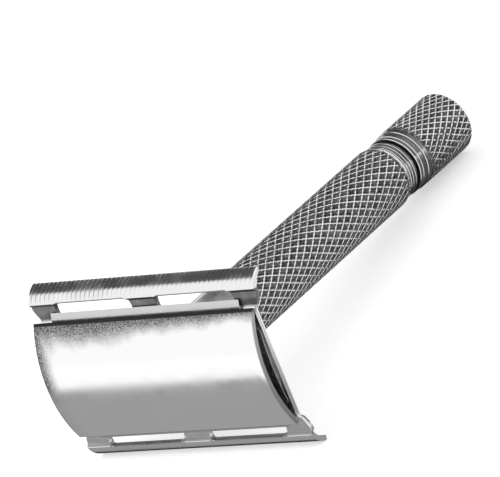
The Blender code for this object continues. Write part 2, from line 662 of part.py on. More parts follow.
def make_tail_bush(body):
    """The grooved neck between barrel and knob, with a spigot in the barrel."""
    middle = NECK_LENGTH / 2
    profile = [(ROD_BORE, BUSH_HEIGHT), (SPIGOT_RADIUS, BUSH_HEIGHT), (SPIGOT_RADIUS, NECK_LENGTH),
               (NECK_RADIUS - FINE_EDGE, NECK_LENGTH), (NECK_RADIUS, NECK_LENGTH - FINE_EDGE)]
    profile += groove(NECK_RADIUS, middle + NECK_GROOVE_PITCH / 2)
    profile += groove(NECK_RADIUS, middle - NECK_GROOVE_PITCH / 2)
    profile += [(NECK_RADIUS, FINE_EDGE), (NECK_RADIUS - FINE_EDGE, 0.0), (ROD_BORE, 0.0)]
    turned("tail_bush", profile, CHROME, body, BUSH_Z, OUTER_STEPS)


SCREW_HOLE = SCREW_RADIUS + SEAT_GAP
COUNTERBORE_DEPTH = SCREW_HEAD_RECESS + SCREW_HEAD_THICKNESS + SEAT_GAP
WEB_TOP = COUNTERBORE_DEPTH + KNOB_WEB
ROD_END_Z = WEB_TOP + SEAT_GAP


def make_knob(body):
    """The knob: plain where it is knurled, then two turned rings and the lip under the neck."""
    lip_groove = KNOB_LENGTH - KNOB_LIP_GROOVE_DROP
    profile = [(ROD_BORE, KNOB_LENGTH), (KNOB_LIP_RADIUS - FINE_EDGE, KNOB_LENGTH),
               (KNOB_LIP_RADIUS, KNOB_LENGTH - FINE_EDGE)]
    profile += groove(KNOB_LIP_RADIUS, lip_groove)
    profile += [(KNOB_LIP_RADIUS, KNOB_RING_Z + FINE_EDGE), (KNOB_RING_RADIUS, KNOB_RING_Z)]
    profile += groove(KNOB_RING_RADIUS, KNOB_KNURL_LENGTH + GROOVE_WIDTH / 2, KNOB_RADIUS)
    profile += [(KNOB_RADIUS, KNOB_CHAMFER), (KNOB_RADIUS - KNOB_CHAMFER, 0.0),
                (SCREW_HEAD_RADIUS + SEAT_GAP, 0.0), (SCREW_HEAD_RADIUS + SEAT_GAP, COUNTERBORE_DEPTH),
                (SCREW_HOLE, COUNTERBORE_DEPTH), (SCREW_HOLE, WEB_TOP), (ROD_BORE, WEB_TOP)]
    turned("knob", profile, CHROME, body, 0.0, OUTER_STEPS)


def make_thrust_washer(body):
    """The washer between the knob and the neck."""
    profile = [(ROD_BORE, THRUST_WASHER_THICKNESS), (THRUST_WASHER_RADIUS, THRUST_WASHER_THICKNESS),
               (THRUST_WASHER_RADIUS, 0.0), (ROD_BORE, 0.0)]
    turned("thrust_washer", profile, BRASS, body, THRUST_WASHER_Z, INNER_STEPS)


SOCKET_DEPTH = THREAD_LENGTH + SOCKET_SPARE_DEPTH
SOCKET_LENGTH = SOCKET_DEPTH + ROD_SOCKET_DEPTH
SOCKET_Z = SOCKET_TOP_Z - SOCKET_LENGTH
CROSS_PIN_Z = SOCKET_Z + ROD_SOCKET_DEPTH / 2
ROD_TOP_Z = SOCKET_Z + ROD_SOCKET_DEPTH - SEAT_GAP
ROD_LENGTH = ROD_TOP_Z - ROD_END_Z
SPRING_Z = BUSH_Z + BUSH_HEIGHT + RUNNING_GAP
CLIP_Z = SPRING_Z + DISC_SPRING_THICKNESS + DISC_SPRING_CONE + RUNNING_GAP
CLIP_BORE = ROD_RADIUS - CLIP_GROOVE_DEPTH + SEAT_GAP


def cross_hole_cutter(name, body):
    """A cutter for the cross pin's hole, along X."""
    hole = cylinder_mesh(name, CROSS_PIN_RADIUS + SEAT_GAP, 2 * (SOCKET_RADIUS + CUT_OVERRUN), SMALL_STEPS)
    cutter = add_cutter(name, hole, body, (0.0, 0.0, CROSS_PIN_Z - body.location.z))
    cutter.rotation_euler.y = math.pi / 2
    return cutter


def make_draw_socket(body):
    """The threaded socket at the rod's head end, which draws the stud down."""
    stud_bore = STUD_RADIUS + RUNNING_GAP
    rod_bore = ROD_RADIUS + SEAT_GAP
    profile = [(stud_bore, SOCKET_LENGTH), (SOCKET_RADIUS, SOCKET_LENGTH), (SOCKET_RADIUS, 0.0),
               (rod_bore, 0.0), (rod_bore, ROD_SOCKET_DEPTH), (stud_bore, ROD_SOCKET_DEPTH)]
    socket = turned("draw_socket", profile, BRASS, body, SOCKET_Z, INNER_STEPS)
    cut(socket, cross_hole_cutter("socket_pin_hole_cutter", body))


def make_draw_rod(body):
    """The rod from knob to socket, with a groove for the clip and a tapped end for the knob's screw."""
    groove_floor = ROD_RADIUS - CLIP_GROOVE_DEPTH
    groove_top = CLIP_Z + CLIP_THICKNESS + SEAT_GAP - ROD_END_Z
    groove_low = CLIP_Z - SEAT_GAP - ROD_END_Z
    tapped_depth = SCREW_LENGTH - (ROD_END_Z - COUNTERBORE_DEPTH) + SCREW_TIP_SPACE
    profile = [(0.0, ROD_LENGTH), (ROD_RADIUS, ROD_LENGTH), (ROD_RADIUS, groove_top),
               (groove_floor, groove_top), (groove_floor, groove_low), (ROD_RADIUS, groove_low),
               (ROD_RADIUS, 0.0), (SCREW_HOLE, 0.0), (SCREW_HOLE, tapped_depth), (0.0, tapped_depth)]
    rod = turned("draw_rod", profile, DARK_STEEL, body, ROD_END_Z, INNER_STEPS)
    cut(rod, cross_hole_cutter("rod_pin_hole_cutter", body))


def make_cross_pin(body):
    """The pin that locks the socket to the rod."""
    mesh = cylinder_mesh("socket_pin", CROSS_PIN_RADIUS, 2 * SOCKET_RADIUS, SMALL_STEPS)
    pin = add_piece("socket_pin", mesh, DARK_STEEL, body, CROSS_PIN_Z)
    pin.rotation_euler.y = math.pi / 2


def make_disc_spring(body):
    """The coned spring washer between the clip and the neck's spigot."""
    profile = [(ROD_BORE, DISC_SPRING_CONE + DISC_SPRING_THICKNESS),
               (DISC_SPRING_RADIUS, DISC_SPRING_THICKNESS),
               (DISC_SPRING_RADIUS, 0.0), (ROD_BORE, DISC_SPRING_CONE)]
    turned("disc_spring", profile, SPRING_STEEL, body, SPRING_Z, INNER_STEPS)


def make_clip(body):
    """The spring clip in the rod's groove, open at one side."""
    profile = [(CLIP_BORE, CLIP_THICKNESS), (CLIP_RADIUS, CLIP_THICKNESS),
               (CLIP_RADIUS, 0.0), (CLIP_BORE, 0.0)]
    clip = turned("retaining_clip", profile, SPRING_STEEL, body, CLIP_Z, INNER_STEPS)
    reach = CLIP_RADIUS + CUT_OVERRUN
    mouth = box_mesh("clip_mouth", (CLIP_MOUTH, reach, CLIP_THICKNESS + CUT_OVERRUN))
    cut(clip, add_cutter("clip_mouth_cutter", mouth, body,
                         (0.0, -reach / 2, CLIP_Z + CLIP_THICKNESS / 2 - body.location.z)))


def make_knob_screw(body):
    """The slotted screw in the knob's end that holds it on the rod."""
    height = SCREW_HEAD_THICKNESS + SCREW_LENGTH
    profile = [(0.0, height), (SCREW_RADIUS, height), (SCREW_RADIUS, SCREW_HEAD_THICKNESS),
               (SCREW_HEAD_RADIUS, SCREW_HEAD_THICKNESS), (SCREW_HEAD_RADIUS, FINE_EDGE),
               (SCREW_HEAD_RADIUS - FINE_EDGE, 0.0), (0.0, 0.0)]
    screw = turned("knob_screw", profile, SPRING_STEEL, body, SCREW_HEAD_RECESS, SMALL_STEPS)
    slot_length = 2 * (SCREW_HEAD_RADIUS + CUT_OVERRUN)
    slot = box_mesh("screw_slot", (slot_length, SCREW_SLOT_WIDTH, 2 * SCREW_SLOT_DEPTH))
    cut(screw, add_cutter("screw_slot_cutter", slot, body,
                          (0.0, 0.0, SCREW_HEAD_RECESS - body.location.z)))


def main():
    """Build the razor body by body, each on its own frame along the axis."""
    pose = new_empty("razor_pose")
    pose.rotation_euler.x = math.pi / 2 - LYING_TILT
    pose.location = (0.0, LYING_SHIFT, LYING_HEIGHT)

    handle = new_empty("handle_frame", pose, BARREL_Z)
    make_barrel(handle)
    make_collar(handle)
    make_tail_bush(handle)
    make_base_plate(handle)
    make_plate_ring(handle)

    knob = new_empty("knob_turn_frame", pose)
    make_knob(knob)
    make_draw_rod(knob)
    make_draw_socket(knob)
    make_cross_pin(knob)
    make_thrust_washer(knob)
    make_disc_spring(knob)
    make_clip(knob)
    make_knob_screw(knob)

    cap = new_empty("cap_lift_frame", pose, CAP_EDGE_Z)
    make_cap(cap)
    make_stud(cap)
    make_index_pins(cap)

    make_blade(new_empty("blade_lift_frame", pose, BLADE_CROWN_Z))


main()
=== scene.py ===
"""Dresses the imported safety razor: knurled handle, pressed guard plate, polished cap and blade.

Every piece is shaped on the razor's own axes in metres, Z up the handle and X along the blade, and
is then laid down as the solids lie.
"""
import json
import logging
import math
from collections.abc import Callable, Iterable, Sequence
from dataclasses import dataclass
from enum import Enum
from functools import reduce
from itertools import pairwise

import bmesh
import bpy
from mathutils import Matrix, Vector

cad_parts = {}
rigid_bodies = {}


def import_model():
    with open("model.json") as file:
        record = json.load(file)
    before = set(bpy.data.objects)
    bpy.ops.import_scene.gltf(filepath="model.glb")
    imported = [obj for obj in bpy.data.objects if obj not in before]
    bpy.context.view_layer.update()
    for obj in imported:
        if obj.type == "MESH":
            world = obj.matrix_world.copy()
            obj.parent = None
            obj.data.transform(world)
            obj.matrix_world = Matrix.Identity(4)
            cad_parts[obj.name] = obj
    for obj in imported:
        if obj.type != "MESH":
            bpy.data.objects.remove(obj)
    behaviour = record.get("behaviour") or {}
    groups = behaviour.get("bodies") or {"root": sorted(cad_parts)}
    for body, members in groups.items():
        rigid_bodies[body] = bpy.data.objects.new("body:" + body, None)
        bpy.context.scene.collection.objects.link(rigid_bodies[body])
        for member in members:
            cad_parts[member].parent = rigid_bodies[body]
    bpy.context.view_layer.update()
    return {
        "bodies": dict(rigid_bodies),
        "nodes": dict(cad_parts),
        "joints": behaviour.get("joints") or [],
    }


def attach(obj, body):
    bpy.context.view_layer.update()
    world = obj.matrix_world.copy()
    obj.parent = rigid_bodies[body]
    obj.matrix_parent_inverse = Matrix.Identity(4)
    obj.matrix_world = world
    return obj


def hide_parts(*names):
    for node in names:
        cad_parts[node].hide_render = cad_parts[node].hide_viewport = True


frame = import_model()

MM = 0.001
MERGE = 0.002 * MM
FINE_EDGE = 0.12 * MM
SHARP_TURN = math.radians(30)
KNURL_SHARP = math.radians(20)
TURNED_SHARP = math.radians(12)
WHITE = (1.0, 1.0, 1.0, 1.0)
SEEN_RAYS = ("Is Camera Ray", "Is Glossy Ray", "Is Transmission Ray")
LOG = logging.getLogger("razor")

Edge = bmesh.types.BMEdge
Socket = bpy.types.NodeSocket
Thing = bpy.types.Object
Profile = Sequence[tuple[float, float]]
Colour = tuple[float, float, float]


class Body(Enum):
    """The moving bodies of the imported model."""

    HANDLE = "handle"
    KNOB = "knob"
    CAP = "cap"
    BLADE = "blade"


class Slot(Enum):
    """The record's material slots."""

    CAP_CHROME = "cap_chrome"
    PLATE_CHROME = "plate_chrome"
    PLAIN_CHROME = "plain_chrome"
    KNURLED_CHROME = "knurled_chrome"
    BLADE_STEEL = "blade_steel"
    PLAIN_STEEL = "plain_steel"


def smooth_step(value: float, low: float, high: float) -> float:
    """Ease from 0 at low to 1 at high."""
    share = min(max((value - low) / (high - low), 0.0), 1.0)
    return share * share * (3 - 2 * share)


def arc_drop(radius: float, offset: float) -> float:
    """How far an arc falls below its crown at a distance from its middle."""
    return radius - math.sqrt(radius ** 2 - offset ** 2)


def groove(radius: float, level: float, width: float = 0.36 * MM, depth: float = 0.2 * MM) -> Profile:
    """A V groove round a turned piece, from top to bottom."""
    return [(radius, level + width / 2), (radius - depth, level), (radius, level - width / 2)]


def put_in_scene(name: str, data: bpy.types.ID) -> Thing:
    """Put a mesh, a lamp or a camera in the scene.

    Args:
        name: the object's name.
        data: what the object shows.

    Returns:
        The new object, at the origin.
    """
    thing = bpy.data.objects.new(name, data)
    bpy.context.scene.collection.objects.link(thing)
    return thing


@dataclass(frozen=True)
class RazorAxes:
    """Where the razor's own axes lie in the row frame.

    Args:
        origin: the middle of the knob's end face.
        turn: the turn about X that lays the handle down.
    """

    origin: Vector
    turn: float

    @classmethod
    def from_frame(cls, joints: Iterable[dict], knob_length: float) -> "RazorAxes":
        """Read the axes from the knob's hinge, which stands at the middle of the knob's length.

        Args:
            joints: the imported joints.
            knob_length: the knob's length along its axis.

        Returns:
            The razor's axes in the row frame.
        """
        hinge = next(joint for joint in joints if joint["name"] == "knob_turn")
        up = -Vector(hinge["axis"]).normalized()
        origin = Vector(hinge["pos_m"]) - up * (knob_length / 2)
        return cls(origin, math.atan2(-up.y, up.z))

    @property
    def matrix(self) -> Matrix:
        """The placement of the razor's axes in the row frame."""
        return Matrix.Translation(self.origin) @ Matrix.Rotation(self.turn, 4, "X")


KNOB_LENGTH = 15.45 * MM
AXES = RazorAxes.from_frame(frame["joints"], KNOB_LENGTH)


class Workpiece:
    """A mesh on the bench, shaped by operators on the razor's own axes."""

    def __init__(self, name: str) -> None:
        """Start an empty workpiece with the name that its object gets."""
        self.name = name
        self.shape = bmesh.new()

    @property
    def everything(self) -> list:
        """All vertices, edges and faces, as the operators want them."""
        return [*self.shape.verts, *self.shape.edges, *self.shape.faces]

    def turn(self, profile: Profile, steps: int) -> "Workpiece":
        """Turn a profile of (radius, height) about the axis.

        Args:
            profile: a closed ring, or a line that starts and ends on the axis.
            steps: facets in a full turn.

        Returns:
            The workpiece, closed, with its faces outward.
        """
        points = [self.shape.verts.new((radius, 0.0, level)) for radius, level in profile]
        links = list(pairwise(points))
        if profile[0][0] > 0.0:
            links.append((points[-1], points[0]))
        lines = [self.shape.edges.new(link) for link in links]
        bmesh.ops.spin(self.shape, geom=points + lines, cent=(0, 0, 0), axis=(0, 0, 1), dvec=(0, 0, 0),
                       angle=math.tau, steps=steps, use_merge=True)
        return self.close()

    def block(self, size: Sequence[float]) -> "Workpiece":
        """Start from a block about the origin.

        Args:
            size: its sides along X, Y and Z.

        Returns:
            The workpiece.
        """
        bmesh.ops.create_cube(self.shape, size=1.0)
        bmesh.ops.scale(self.shape, vec=size, verts=self.shape.verts)
        return self

    def close(self) -> "Workpiece":
        """Merge what coincides and turn every face outward.

        Returns:
            The workpiece.
        """
        bmesh.ops.remove_doubles(self.shape, verts=self.shape.verts, dist=MERGE)
        bmesh.ops.recalc_face_normals(self.shape, faces=self.shape.faces)
        return self

    def thicken(self, wall: float) -> "Workpiece":
        """Give a flat sheet its wall, downward from its upper face.

        Args:
            wall: how thick the sheet gets.

        Returns:
            The workpiece, closed.
        """
        under = bmesh.ops.extrude_face_region(self.shape, geom=self.shape.faces[:])["geom"]
        points = [item for item in under if isinstance(item, bmesh.types.BMVert)]
        bmesh.ops.translate(self.shape, vec=(0, 0, -wall), verts=points)
        return self.close()

    def round_edges(self, width: float, segments: int = 2, sharper_than: float = SHARP_TURN) -> "Workpiece":
        """Round the edges at which the surface turns sharply.

        Args:
            width: how far the round reaches from each edge.
            segments: facets across the round.
            sharper_than: the least turn that counts as an edge.

        Returns:
            The workpiece.
        """
        sharp = [edge for edge in self.shape.edges
                 if edge.is_manifold and edge.calc_face_angle() > sharper_than]
        bmesh.ops.bevel(self.shape, geom=sharp, offset=width, segments=segments, profile=0.5,
                        affect="EDGES", material=-1, clamp_overlap=True)
        return self

    def slice_at(self, point: Sequence[float], normal: Sequence[float], keep: bool = True) -> None:
        """Cut the faces along a plane, and drop what lies beyond it if keep is false."""
        bmesh.ops.bisect_plane(self.shape, geom=self.everything, dist=MERGE / 4, plane_co=point,
                               plane_no=normal, clear_outer=not keep)

    def move(self, across: float = 0.0, up: float = 0.0) -> "Workpiece":
        """Move the workpiece along the blade and along the razor's axis."""
        bmesh.ops.translate(self.shape, vec=(across, 0, up), verts=self.shape.verts)
        return self

    def form(self, place: Callable[[Vector], Vector]) -> None:
        """Press every point to the place that a function gives."""
        for point in self.shape.verts:
            point.co = place(point.co)

    def pierce(self, tool: "Workpiece") -> "Workpiece":
        """Take another workpiece's shape out of this one.

        Args:
            tool: the shape to take away, which is used up.

        Returns:
            The workpiece.
        """
        holders = []
        for piece in (self, tool):
            mesh = bpy.data.meshes.new(piece.name)
            piece.shape.to_mesh(mesh)
            holders.append(put_in_scene(piece.name, mesh))
        target, cutter = holders
        boolean = target.modifiers.new("pierce", "BOOLEAN")
        boolean.operation = "DIFFERENCE"
        boolean.solver = "EXACT"
        boolean.object = cutter
        graph = bpy.context.evaluated_depsgraph_get()
        self.shape.clear()
        self.shape.from_mesh(target.evaluated_get(graph).to_mesh())
        for holder in holders:
            mesh = holder.data
            bpy.data.objects.remove(holder, do_unlink=True)
            bpy.data.meshes.remove(mesh)
        tool.shape.free()
        return self

    def lay_down(self, material: bpy.types.Material, body: Body, slot: Slot, node: str,
                 sharp_from: float = SHARP_TURN) -> Thing:
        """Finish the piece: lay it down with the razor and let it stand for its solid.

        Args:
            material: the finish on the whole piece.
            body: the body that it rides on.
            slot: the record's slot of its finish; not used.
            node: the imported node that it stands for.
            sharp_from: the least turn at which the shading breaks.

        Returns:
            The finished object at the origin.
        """
        self.shape.transform(AXES.matrix)
        mesh = bpy.data.meshes.new(self.name)
        self.shape.to_mesh(mesh)
        self.shape.free()
        mesh.shade_smooth()
        mesh.set_sharp_from_angle(angle=sharp_from)
        mesh.materials.append(material)
        piece = put_in_scene(self.name, mesh)
        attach(piece, body.value)
        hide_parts(node)
        mesh.calc_loop_triangles()
        LOG.info("%s: %d triangles", self.name, len(mesh.loop_triangles))
        return piece


class SheetBlank(Workpiece):
    """Flat sheet metal, cut out and rounded while flat and pressed to its form last.

    A point's X and Y lie in the sheet, and its Z is the depth under the sheet's upper face.
    """

    def __init__(self, name: str, columns: Sequence[float], rows: Sequence[float]) -> None:
        """Start the sheet as a grid on the given lines.

        Args:
            name: the piece's name.
            columns: where the lines across the sheet stand, in rising order.
            rows: where the lines along the sheet stand, in rising order.
        """
        super().__init__(name)
        across, along = len(columns) - 1, len(rows) - 1
        bmesh.ops.create_grid(self.shape, x_segments=across, y_segments=along, size=0.5)
        for point in self.shape.verts:
            point.co.x = columns[round((point.co.x + 0.5) * across)]
            point.co.y = rows[round((point.co.y + 0.5) * along)]

    def open_slot(self, low: Sequence[float], high: Sequence[float], radius: float) -> None:
        """Open a slot with round ends, whose corners lie on the sheet's lines.

        Args:
            low: the slot's lowest corner.
            high: its highest corner.
            radius: the round of its corners.
        """
        middle = [(a + b) / 2 for a, b in zip(low, high)]
        half = [(b - a) / 2 for a, b in zip(low, high)]

        def inside(place: Vector, spare: float) -> bool:
            """Tell whether a place lies in the slot's box, or less than spare beyond it."""
            return all(abs(place[axis] - middle[axis]) < half[axis] + spare for axis in (0, 1))

        gone = [face for face in self.shape.faces if inside(face.calc_center_median(), 0.0)]
        bmesh.ops.delete(self.shape, geom=gone, context="FACES")
        for point in self.shape.verts:
            if point.is_boundary and inside(point.co, MERGE):
                sides = [math.copysign(1.0, point.co[axis] - middle[axis]) for axis in (0, 1)]
                corner = Vector([middle[axis] + sides[axis] * (half[axis] - radius) for axis in (0, 1)])
                reach = Vector([(point.co[axis] - corner[axis]) * sides[axis] for axis in (0, 1)])
                if min(reach) > 0.0:
                    reach = reach.normalized() * radius
                    point.co.x = corner.x + reach.x * sides[0]
                    point.co.y = corner.y + reach.y * sides[1]


class KnurledSleeve(Workpiece):
    """A turned outside with a diamond knurl: a raised net of ridges, with a lower cross in each diamond."""

    pit_steps: Profile = ((0.085 * MM, 0.03 * MM), (0.04 * MM, 0.08 * MM))
    cross_depth: float = 0.16 * MM

    def __init__(self, name: str, radius: float, bottom: float, top: float, starts: int,
                 pitch: float) -> None:
        """Roll the knurl between two heights.

        Args:
            name: the piece's name.
            radius: the ridges' radius.
            bottom: the lower end of the knurl.
            top: its upper end.
            starts: ridges round the piece in each direction.
            pitch: from diamond to diamond along the axis.
        """
        super().__init__(name)
        rows = math.ceil((top - bottom) / pitch) + 2
        foot = (bottom + top - rows * pitch) / 2
        bmesh.ops.create_grid(self.shape, x_segments=starts, y_segments=rows, size=0.5)
        bmesh.ops.poke(self.shape, faces=self.shape.faces[:])
        for point in self.shape.verts:
            angle = point.co.x * math.tau
            level = foot + (point.co.y + 0.5) * rows * pitch
            point.co = (radius * math.cos(angle), radius * math.sin(angle), level)
        self.close()
        straight = [edge for edge in self.shape.edges if not edge.is_boundary
                    and abs(abs(edge.verts[0].co.z - edge.verts[1].co.z) - pitch / 2) > pitch / 4]
        bmesh.ops.dissolve_edges(self.shape, edges=straight, use_verts=False)
        self._cross(radius, math.pi / (2 * starts))
        pits = self.shape.faces[:]
        for width, depth in self.pit_steps:
            bmesh.ops.inset_individual(self.shape, faces=pits, thickness=width, depth=-depth,
                                       use_even_offset=True)
        self.slice_at((0, 0, top), (0, 0, 1), keep=False)
        self.slice_at((0, 0, bottom), (0, 0, -1), keep=False)

    def _cross(self, radius: float, half_side: float) -> None:
        """Part every diamond into four, whose common corner lies deeper.

        Args:
            radius: the ridges' radius.
            half_side: the angle that half a diamond's side spans round the piece.
        """
        bmesh.ops.subdivide_edges(self.shape, edges=self.shape.edges[:], cuts=1, use_grid_fill=True)
        on_ridge = radius * (1 - 1.5 * (1 - math.cos(half_side)))
        for point in self.shape.verts:
            now = math.hypot(point.co.x, point.co.y)
            scale = (radius if now > on_ridge else radius - self.cross_depth) / now
            point.co = (point.co.x * scale, point.co.y * scale, point.co.z)

    def rim(self, height: float) -> list[Edge]:
        """The open rim at a height."""
        return [edge for edge in self.shape.edges if edge.is_boundary
                and all(abs(point.co.z - height) < MERGE for point in edge.verts)]

    def chamfer(self, low: tuple[float, float], high: tuple[float, float], cuts: int) -> None:
        """Turn the knurl down to a cone between two (radius, height) places.

        Args:
            low: the cone's lower place.
            high: the cone's upper place.
            cuts: lines added across the cone.
        """
        for cut in range(1, cuts + 1):
            level = low[1] + (high[1] - low[1]) * cut / (cuts + 1)
            self.slice_at((0, 0, level), (0, 0, 1))
        for point in self.shape.verts:
            if low[1] - MERGE <= point.co.z <= high[1] + MERGE:
                share = (point.co.z - low[1]) / (high[1] - low[1])
                limit = low[0] + (high[0] - low[0]) * share
                radius = math.hypot(point.co.x, point.co.y)
                if radius > limit:
                    point.co.x *= limit / radius
                    point.co.y *= limit / radius

    def carry(self, rim: list[Edge], places: Profile) -> list[Edge]:
        """Carry an open rim on through (radius, height) places.

        Args:
            rim: the open rim's edges.
            places: where the rim goes, one ring after another.

        Returns:
            The last ring's edges.
        """
        for radius, level in places:
            new = bmesh.ops.extrude_edge_only(self.shape, edges=rim)["geom"]
            for point in (item for item in new if isinstance(item, bmesh.types.BMVert)):
                scale = radius / math.hypot(point.co.x, point.co.y)
                point.co = (point.co.x * scale, point.co.y * scale, level)
            rim = [item for item in new if isinstance(item, Edge)
                   and all(abs(point.co.z - level) < MERGE for point in item.verts)
                   and all(abs(math.hypot(point.co.x, point.co.y) - radius) < MERGE for point in item.verts)
                   and item.is_boundary]
        return rim

    def join_rims(self, first: list[Edge], second: list[Edge]) -> None:
        """Close the piece between two rims."""
        bmesh.ops.bridge_loops(self.shape, edges=first + second)
        bmesh.ops.recalc_face_normals(self.shape, faces=self.shape.faces)


# Finishes


class NodeSheet:
    """A node tree that is being filled."""

    def __init__(self, tree: bpy.types.NodeTree) -> None:
        """Work on a material's or a group's tree."""
        self.tree = tree

    @classmethod
    def bare(cls, owner: bpy.types.ID) -> "NodeSheet":
        """Start an empty sheet.

        Args:
            owner: the material or the world that the sheet is for.

        Returns:
            The sheet.
        """
        owner.use_nodes = True
        owner.node_tree.nodes.clear()
        return cls(owner.node_tree)

    def give(self, node: bpy.types.Node, key: str | int, value: object) -> None:
        """Give one of a node's inputs a socket or a plain value.

        Args:
            node: the node.
            key: the input's name or number.
            value: what it gets.
        """
        if isinstance(value, Socket):
            self.tree.links.new(value, node.inputs[key])
        else:
            node.inputs[key].default_value = value

    def add(self, kind: str, inputs: dict | None = None, **settings: object) -> bpy.types.Node:
        """Add a node.

        Args:
            kind: the node's type, without the ShaderNode in front.
            inputs: values or sockets for its inputs, by name or number.
            settings: its own settings.

        Returns:
            The node.
        """
        node = self.tree.nodes.new(kind if kind.startswith("Node") else "ShaderNode" + kind)
        for name, value in settings.items():
            setattr(node, name, value)
        for key, value in (inputs or {}).items():
            self.give(node, key, value)
        return node

    def math(self, operation: str, *values: object) -> Socket:
        """A Math node's result."""
        return self.add("Math", dict(enumerate(values)), operation=operation).outputs[0]

    def product(self, first: object, second: object) -> Socket:
        """One value times another."""
        return self.math("MULTIPLY", first, second)

    def largest(self, *values: Socket) -> Socket:
        """The largest of several values."""
        return reduce(lambda first, second: self.math("MAXIMUM", first, second), values)

    def spread(self, value: Socket, low: object, high: object, to_low: object = 0.0,
               to_high: object = 1.0) -> Socket:
        """Ease a value from one range to another."""
        return self.add("MapRange", {0: value, 1: low, 2: high, 3: to_low, 4: to_high},
                        interpolation_type="SMOOTHSTEP").outputs[0]

    def noise(self, place: Socket, scale: object, detail: float = 2.0, roughness: float = 0.5) -> Socket:
        """A cloudy pattern from 0 to 1."""
        return self.add("TexNoise", {"Vector": place, "Scale": scale, "Detail": detail,
                                     "Roughness": roughness}).outputs[0]

    def mix_colours(self, share: object, first: Colour, second: Colour) -> Socket:
        """A colour between two."""
        return self.add("Mix", {0: share, 6: (*first, 1.0), 7: (*second, 1.0)}, data_type="RGBA").outputs[2]

    def glow(self, strength: object) -> Socket:
        """White light from a surface."""
        return self.add("Emission", {"Color": WHITE, "Strength": strength}).outputs[0]


class SharedEffects:
    """The node groups that several finishes use, each built once."""

    def __init__(self) -> None:
        """Build the groups: wear, the rings left by turning, and the grain along the blade."""
        self.handling = self._handling()
        self.lathe_lines = self._streaks("lathe_lines", 14.0, (0.03, 0.03, 1.0), 3.0, 0.7)
        self.grain = self._streaks("rolling_grain", 9.0, (0.05, 1.0, 0.05), 4.0, 0.65)

    @staticmethod
    def _new(name: str, inputs: dict[str, float | None], outputs: Sequence[str]) -> tuple:
        """A new group with its sockets.

        Args:
            name: the group's name.
            inputs: for each input its value, or None for a place.
            outputs: the names of its outputs.

        Returns:
            A sheet on the group, its input node and its output node.
        """
        tree = bpy.data.node_groups.new(name, "ShaderNodeTree")
        for label, value in inputs.items():
            kind = "NodeSocketVector" if value is None else "NodeSocketFloat"
            socket = tree.interface.new_socket(label, in_out="INPUT", socket_type=kind)
            if value is not None:
                socket.default_value = value
        for label in outputs:
            tree.interface.new_socket(label, in_out="OUTPUT", socket_type="NodeSocketFloat")
        sheet = NodeSheet(tree)
        return sheet, sheet.add("NodeGroupInput").outputs, sheet.add("NodeGroupOutput")

    def _handling(self) -> bpy.types.NodeTree:
        """Wear from use: soft smudges, hairline scratches and tiny pits in the plating.

        Returns:
            The group.
        """
        sheet, given, result = self._new(
            "handling_wear", {"Place": None, "Scratch Width": 0.02, "Pit Share": 0.3},
            ("Smudge", "Scratch", "Pit"))
        place = given["Place"]
        sheet.give(result, "Smudge", sheet.spread(sheet.noise(place, 0.22, 5.0), 0.35, 0.68))
        lines = []
        for turn, stretch in ((0.4, 0.09), (1.9, 0.12), (2.7, 0.08)):
            turned = sheet.add("Mapping", {"Vector": place, "Rotation": (0.3, turn, turn),
                                           "Scale": (1.0, stretch, 1.0)}).outputs[0]
            cells = sheet.add("TexVoronoi", {"Vector": turned, "Scale": 0.55},
                              feature="DISTANCE_TO_EDGE").outputs["Distance"]
            lines.append(sheet.spread(cells, 0.0, given["Scratch Width"], 1.0, 0.0))
        broken = sheet.spread(sheet.noise(place, 0.6), 0.5, 0.7)
        sheet.give(result, "Scratch", sheet.product(sheet.largest(*lines), broken))
        dots = sheet.add("TexVoronoi", {"Vector": place, "Scale": 2.4}).outputs["Distance"]
        floor = sheet.math("SUBTRACT", 1.0, given["Pit Share"])
        chosen = sheet.spread(sheet.noise(place, 1.3, 3.0), floor, sheet.math("ADD", floor, 0.12))
        sheet.give(result, "Pit", sheet.product(sheet.spread(dots, 0.1, 0.2, 1.0, 0.0), chosen))
        return sheet.tree

    def _streaks(self, name: str, per_millimetre: float, squeeze: Sequence[float], detail: float,
                 roughness: float) -> bpy.types.NodeTree:
        """Fine lines that a tool or a roller leaves.

        Args:
            name: the group's name.
            per_millimetre: how close the lines lie.
            squeeze: the scale along each axis, small where the lines run.
            detail: the detail of the pattern.
            roughness: how strong its finest part is.

        Returns:
            The group.
        """
        sheet, given, result = self._new(name, {"Place": None, "Per Millimetre": per_millimetre}, ("Line",))
        drawn = sheet.add("Mapping", {"Vector": given["Place"], "Scale": squeeze}).outputs[0]
        sheet.give(result, "Line", sheet.noise(drawn, given["Per Millimetre"], detail, roughness))
        return sheet.tree


EFFECTS = SharedEffects()


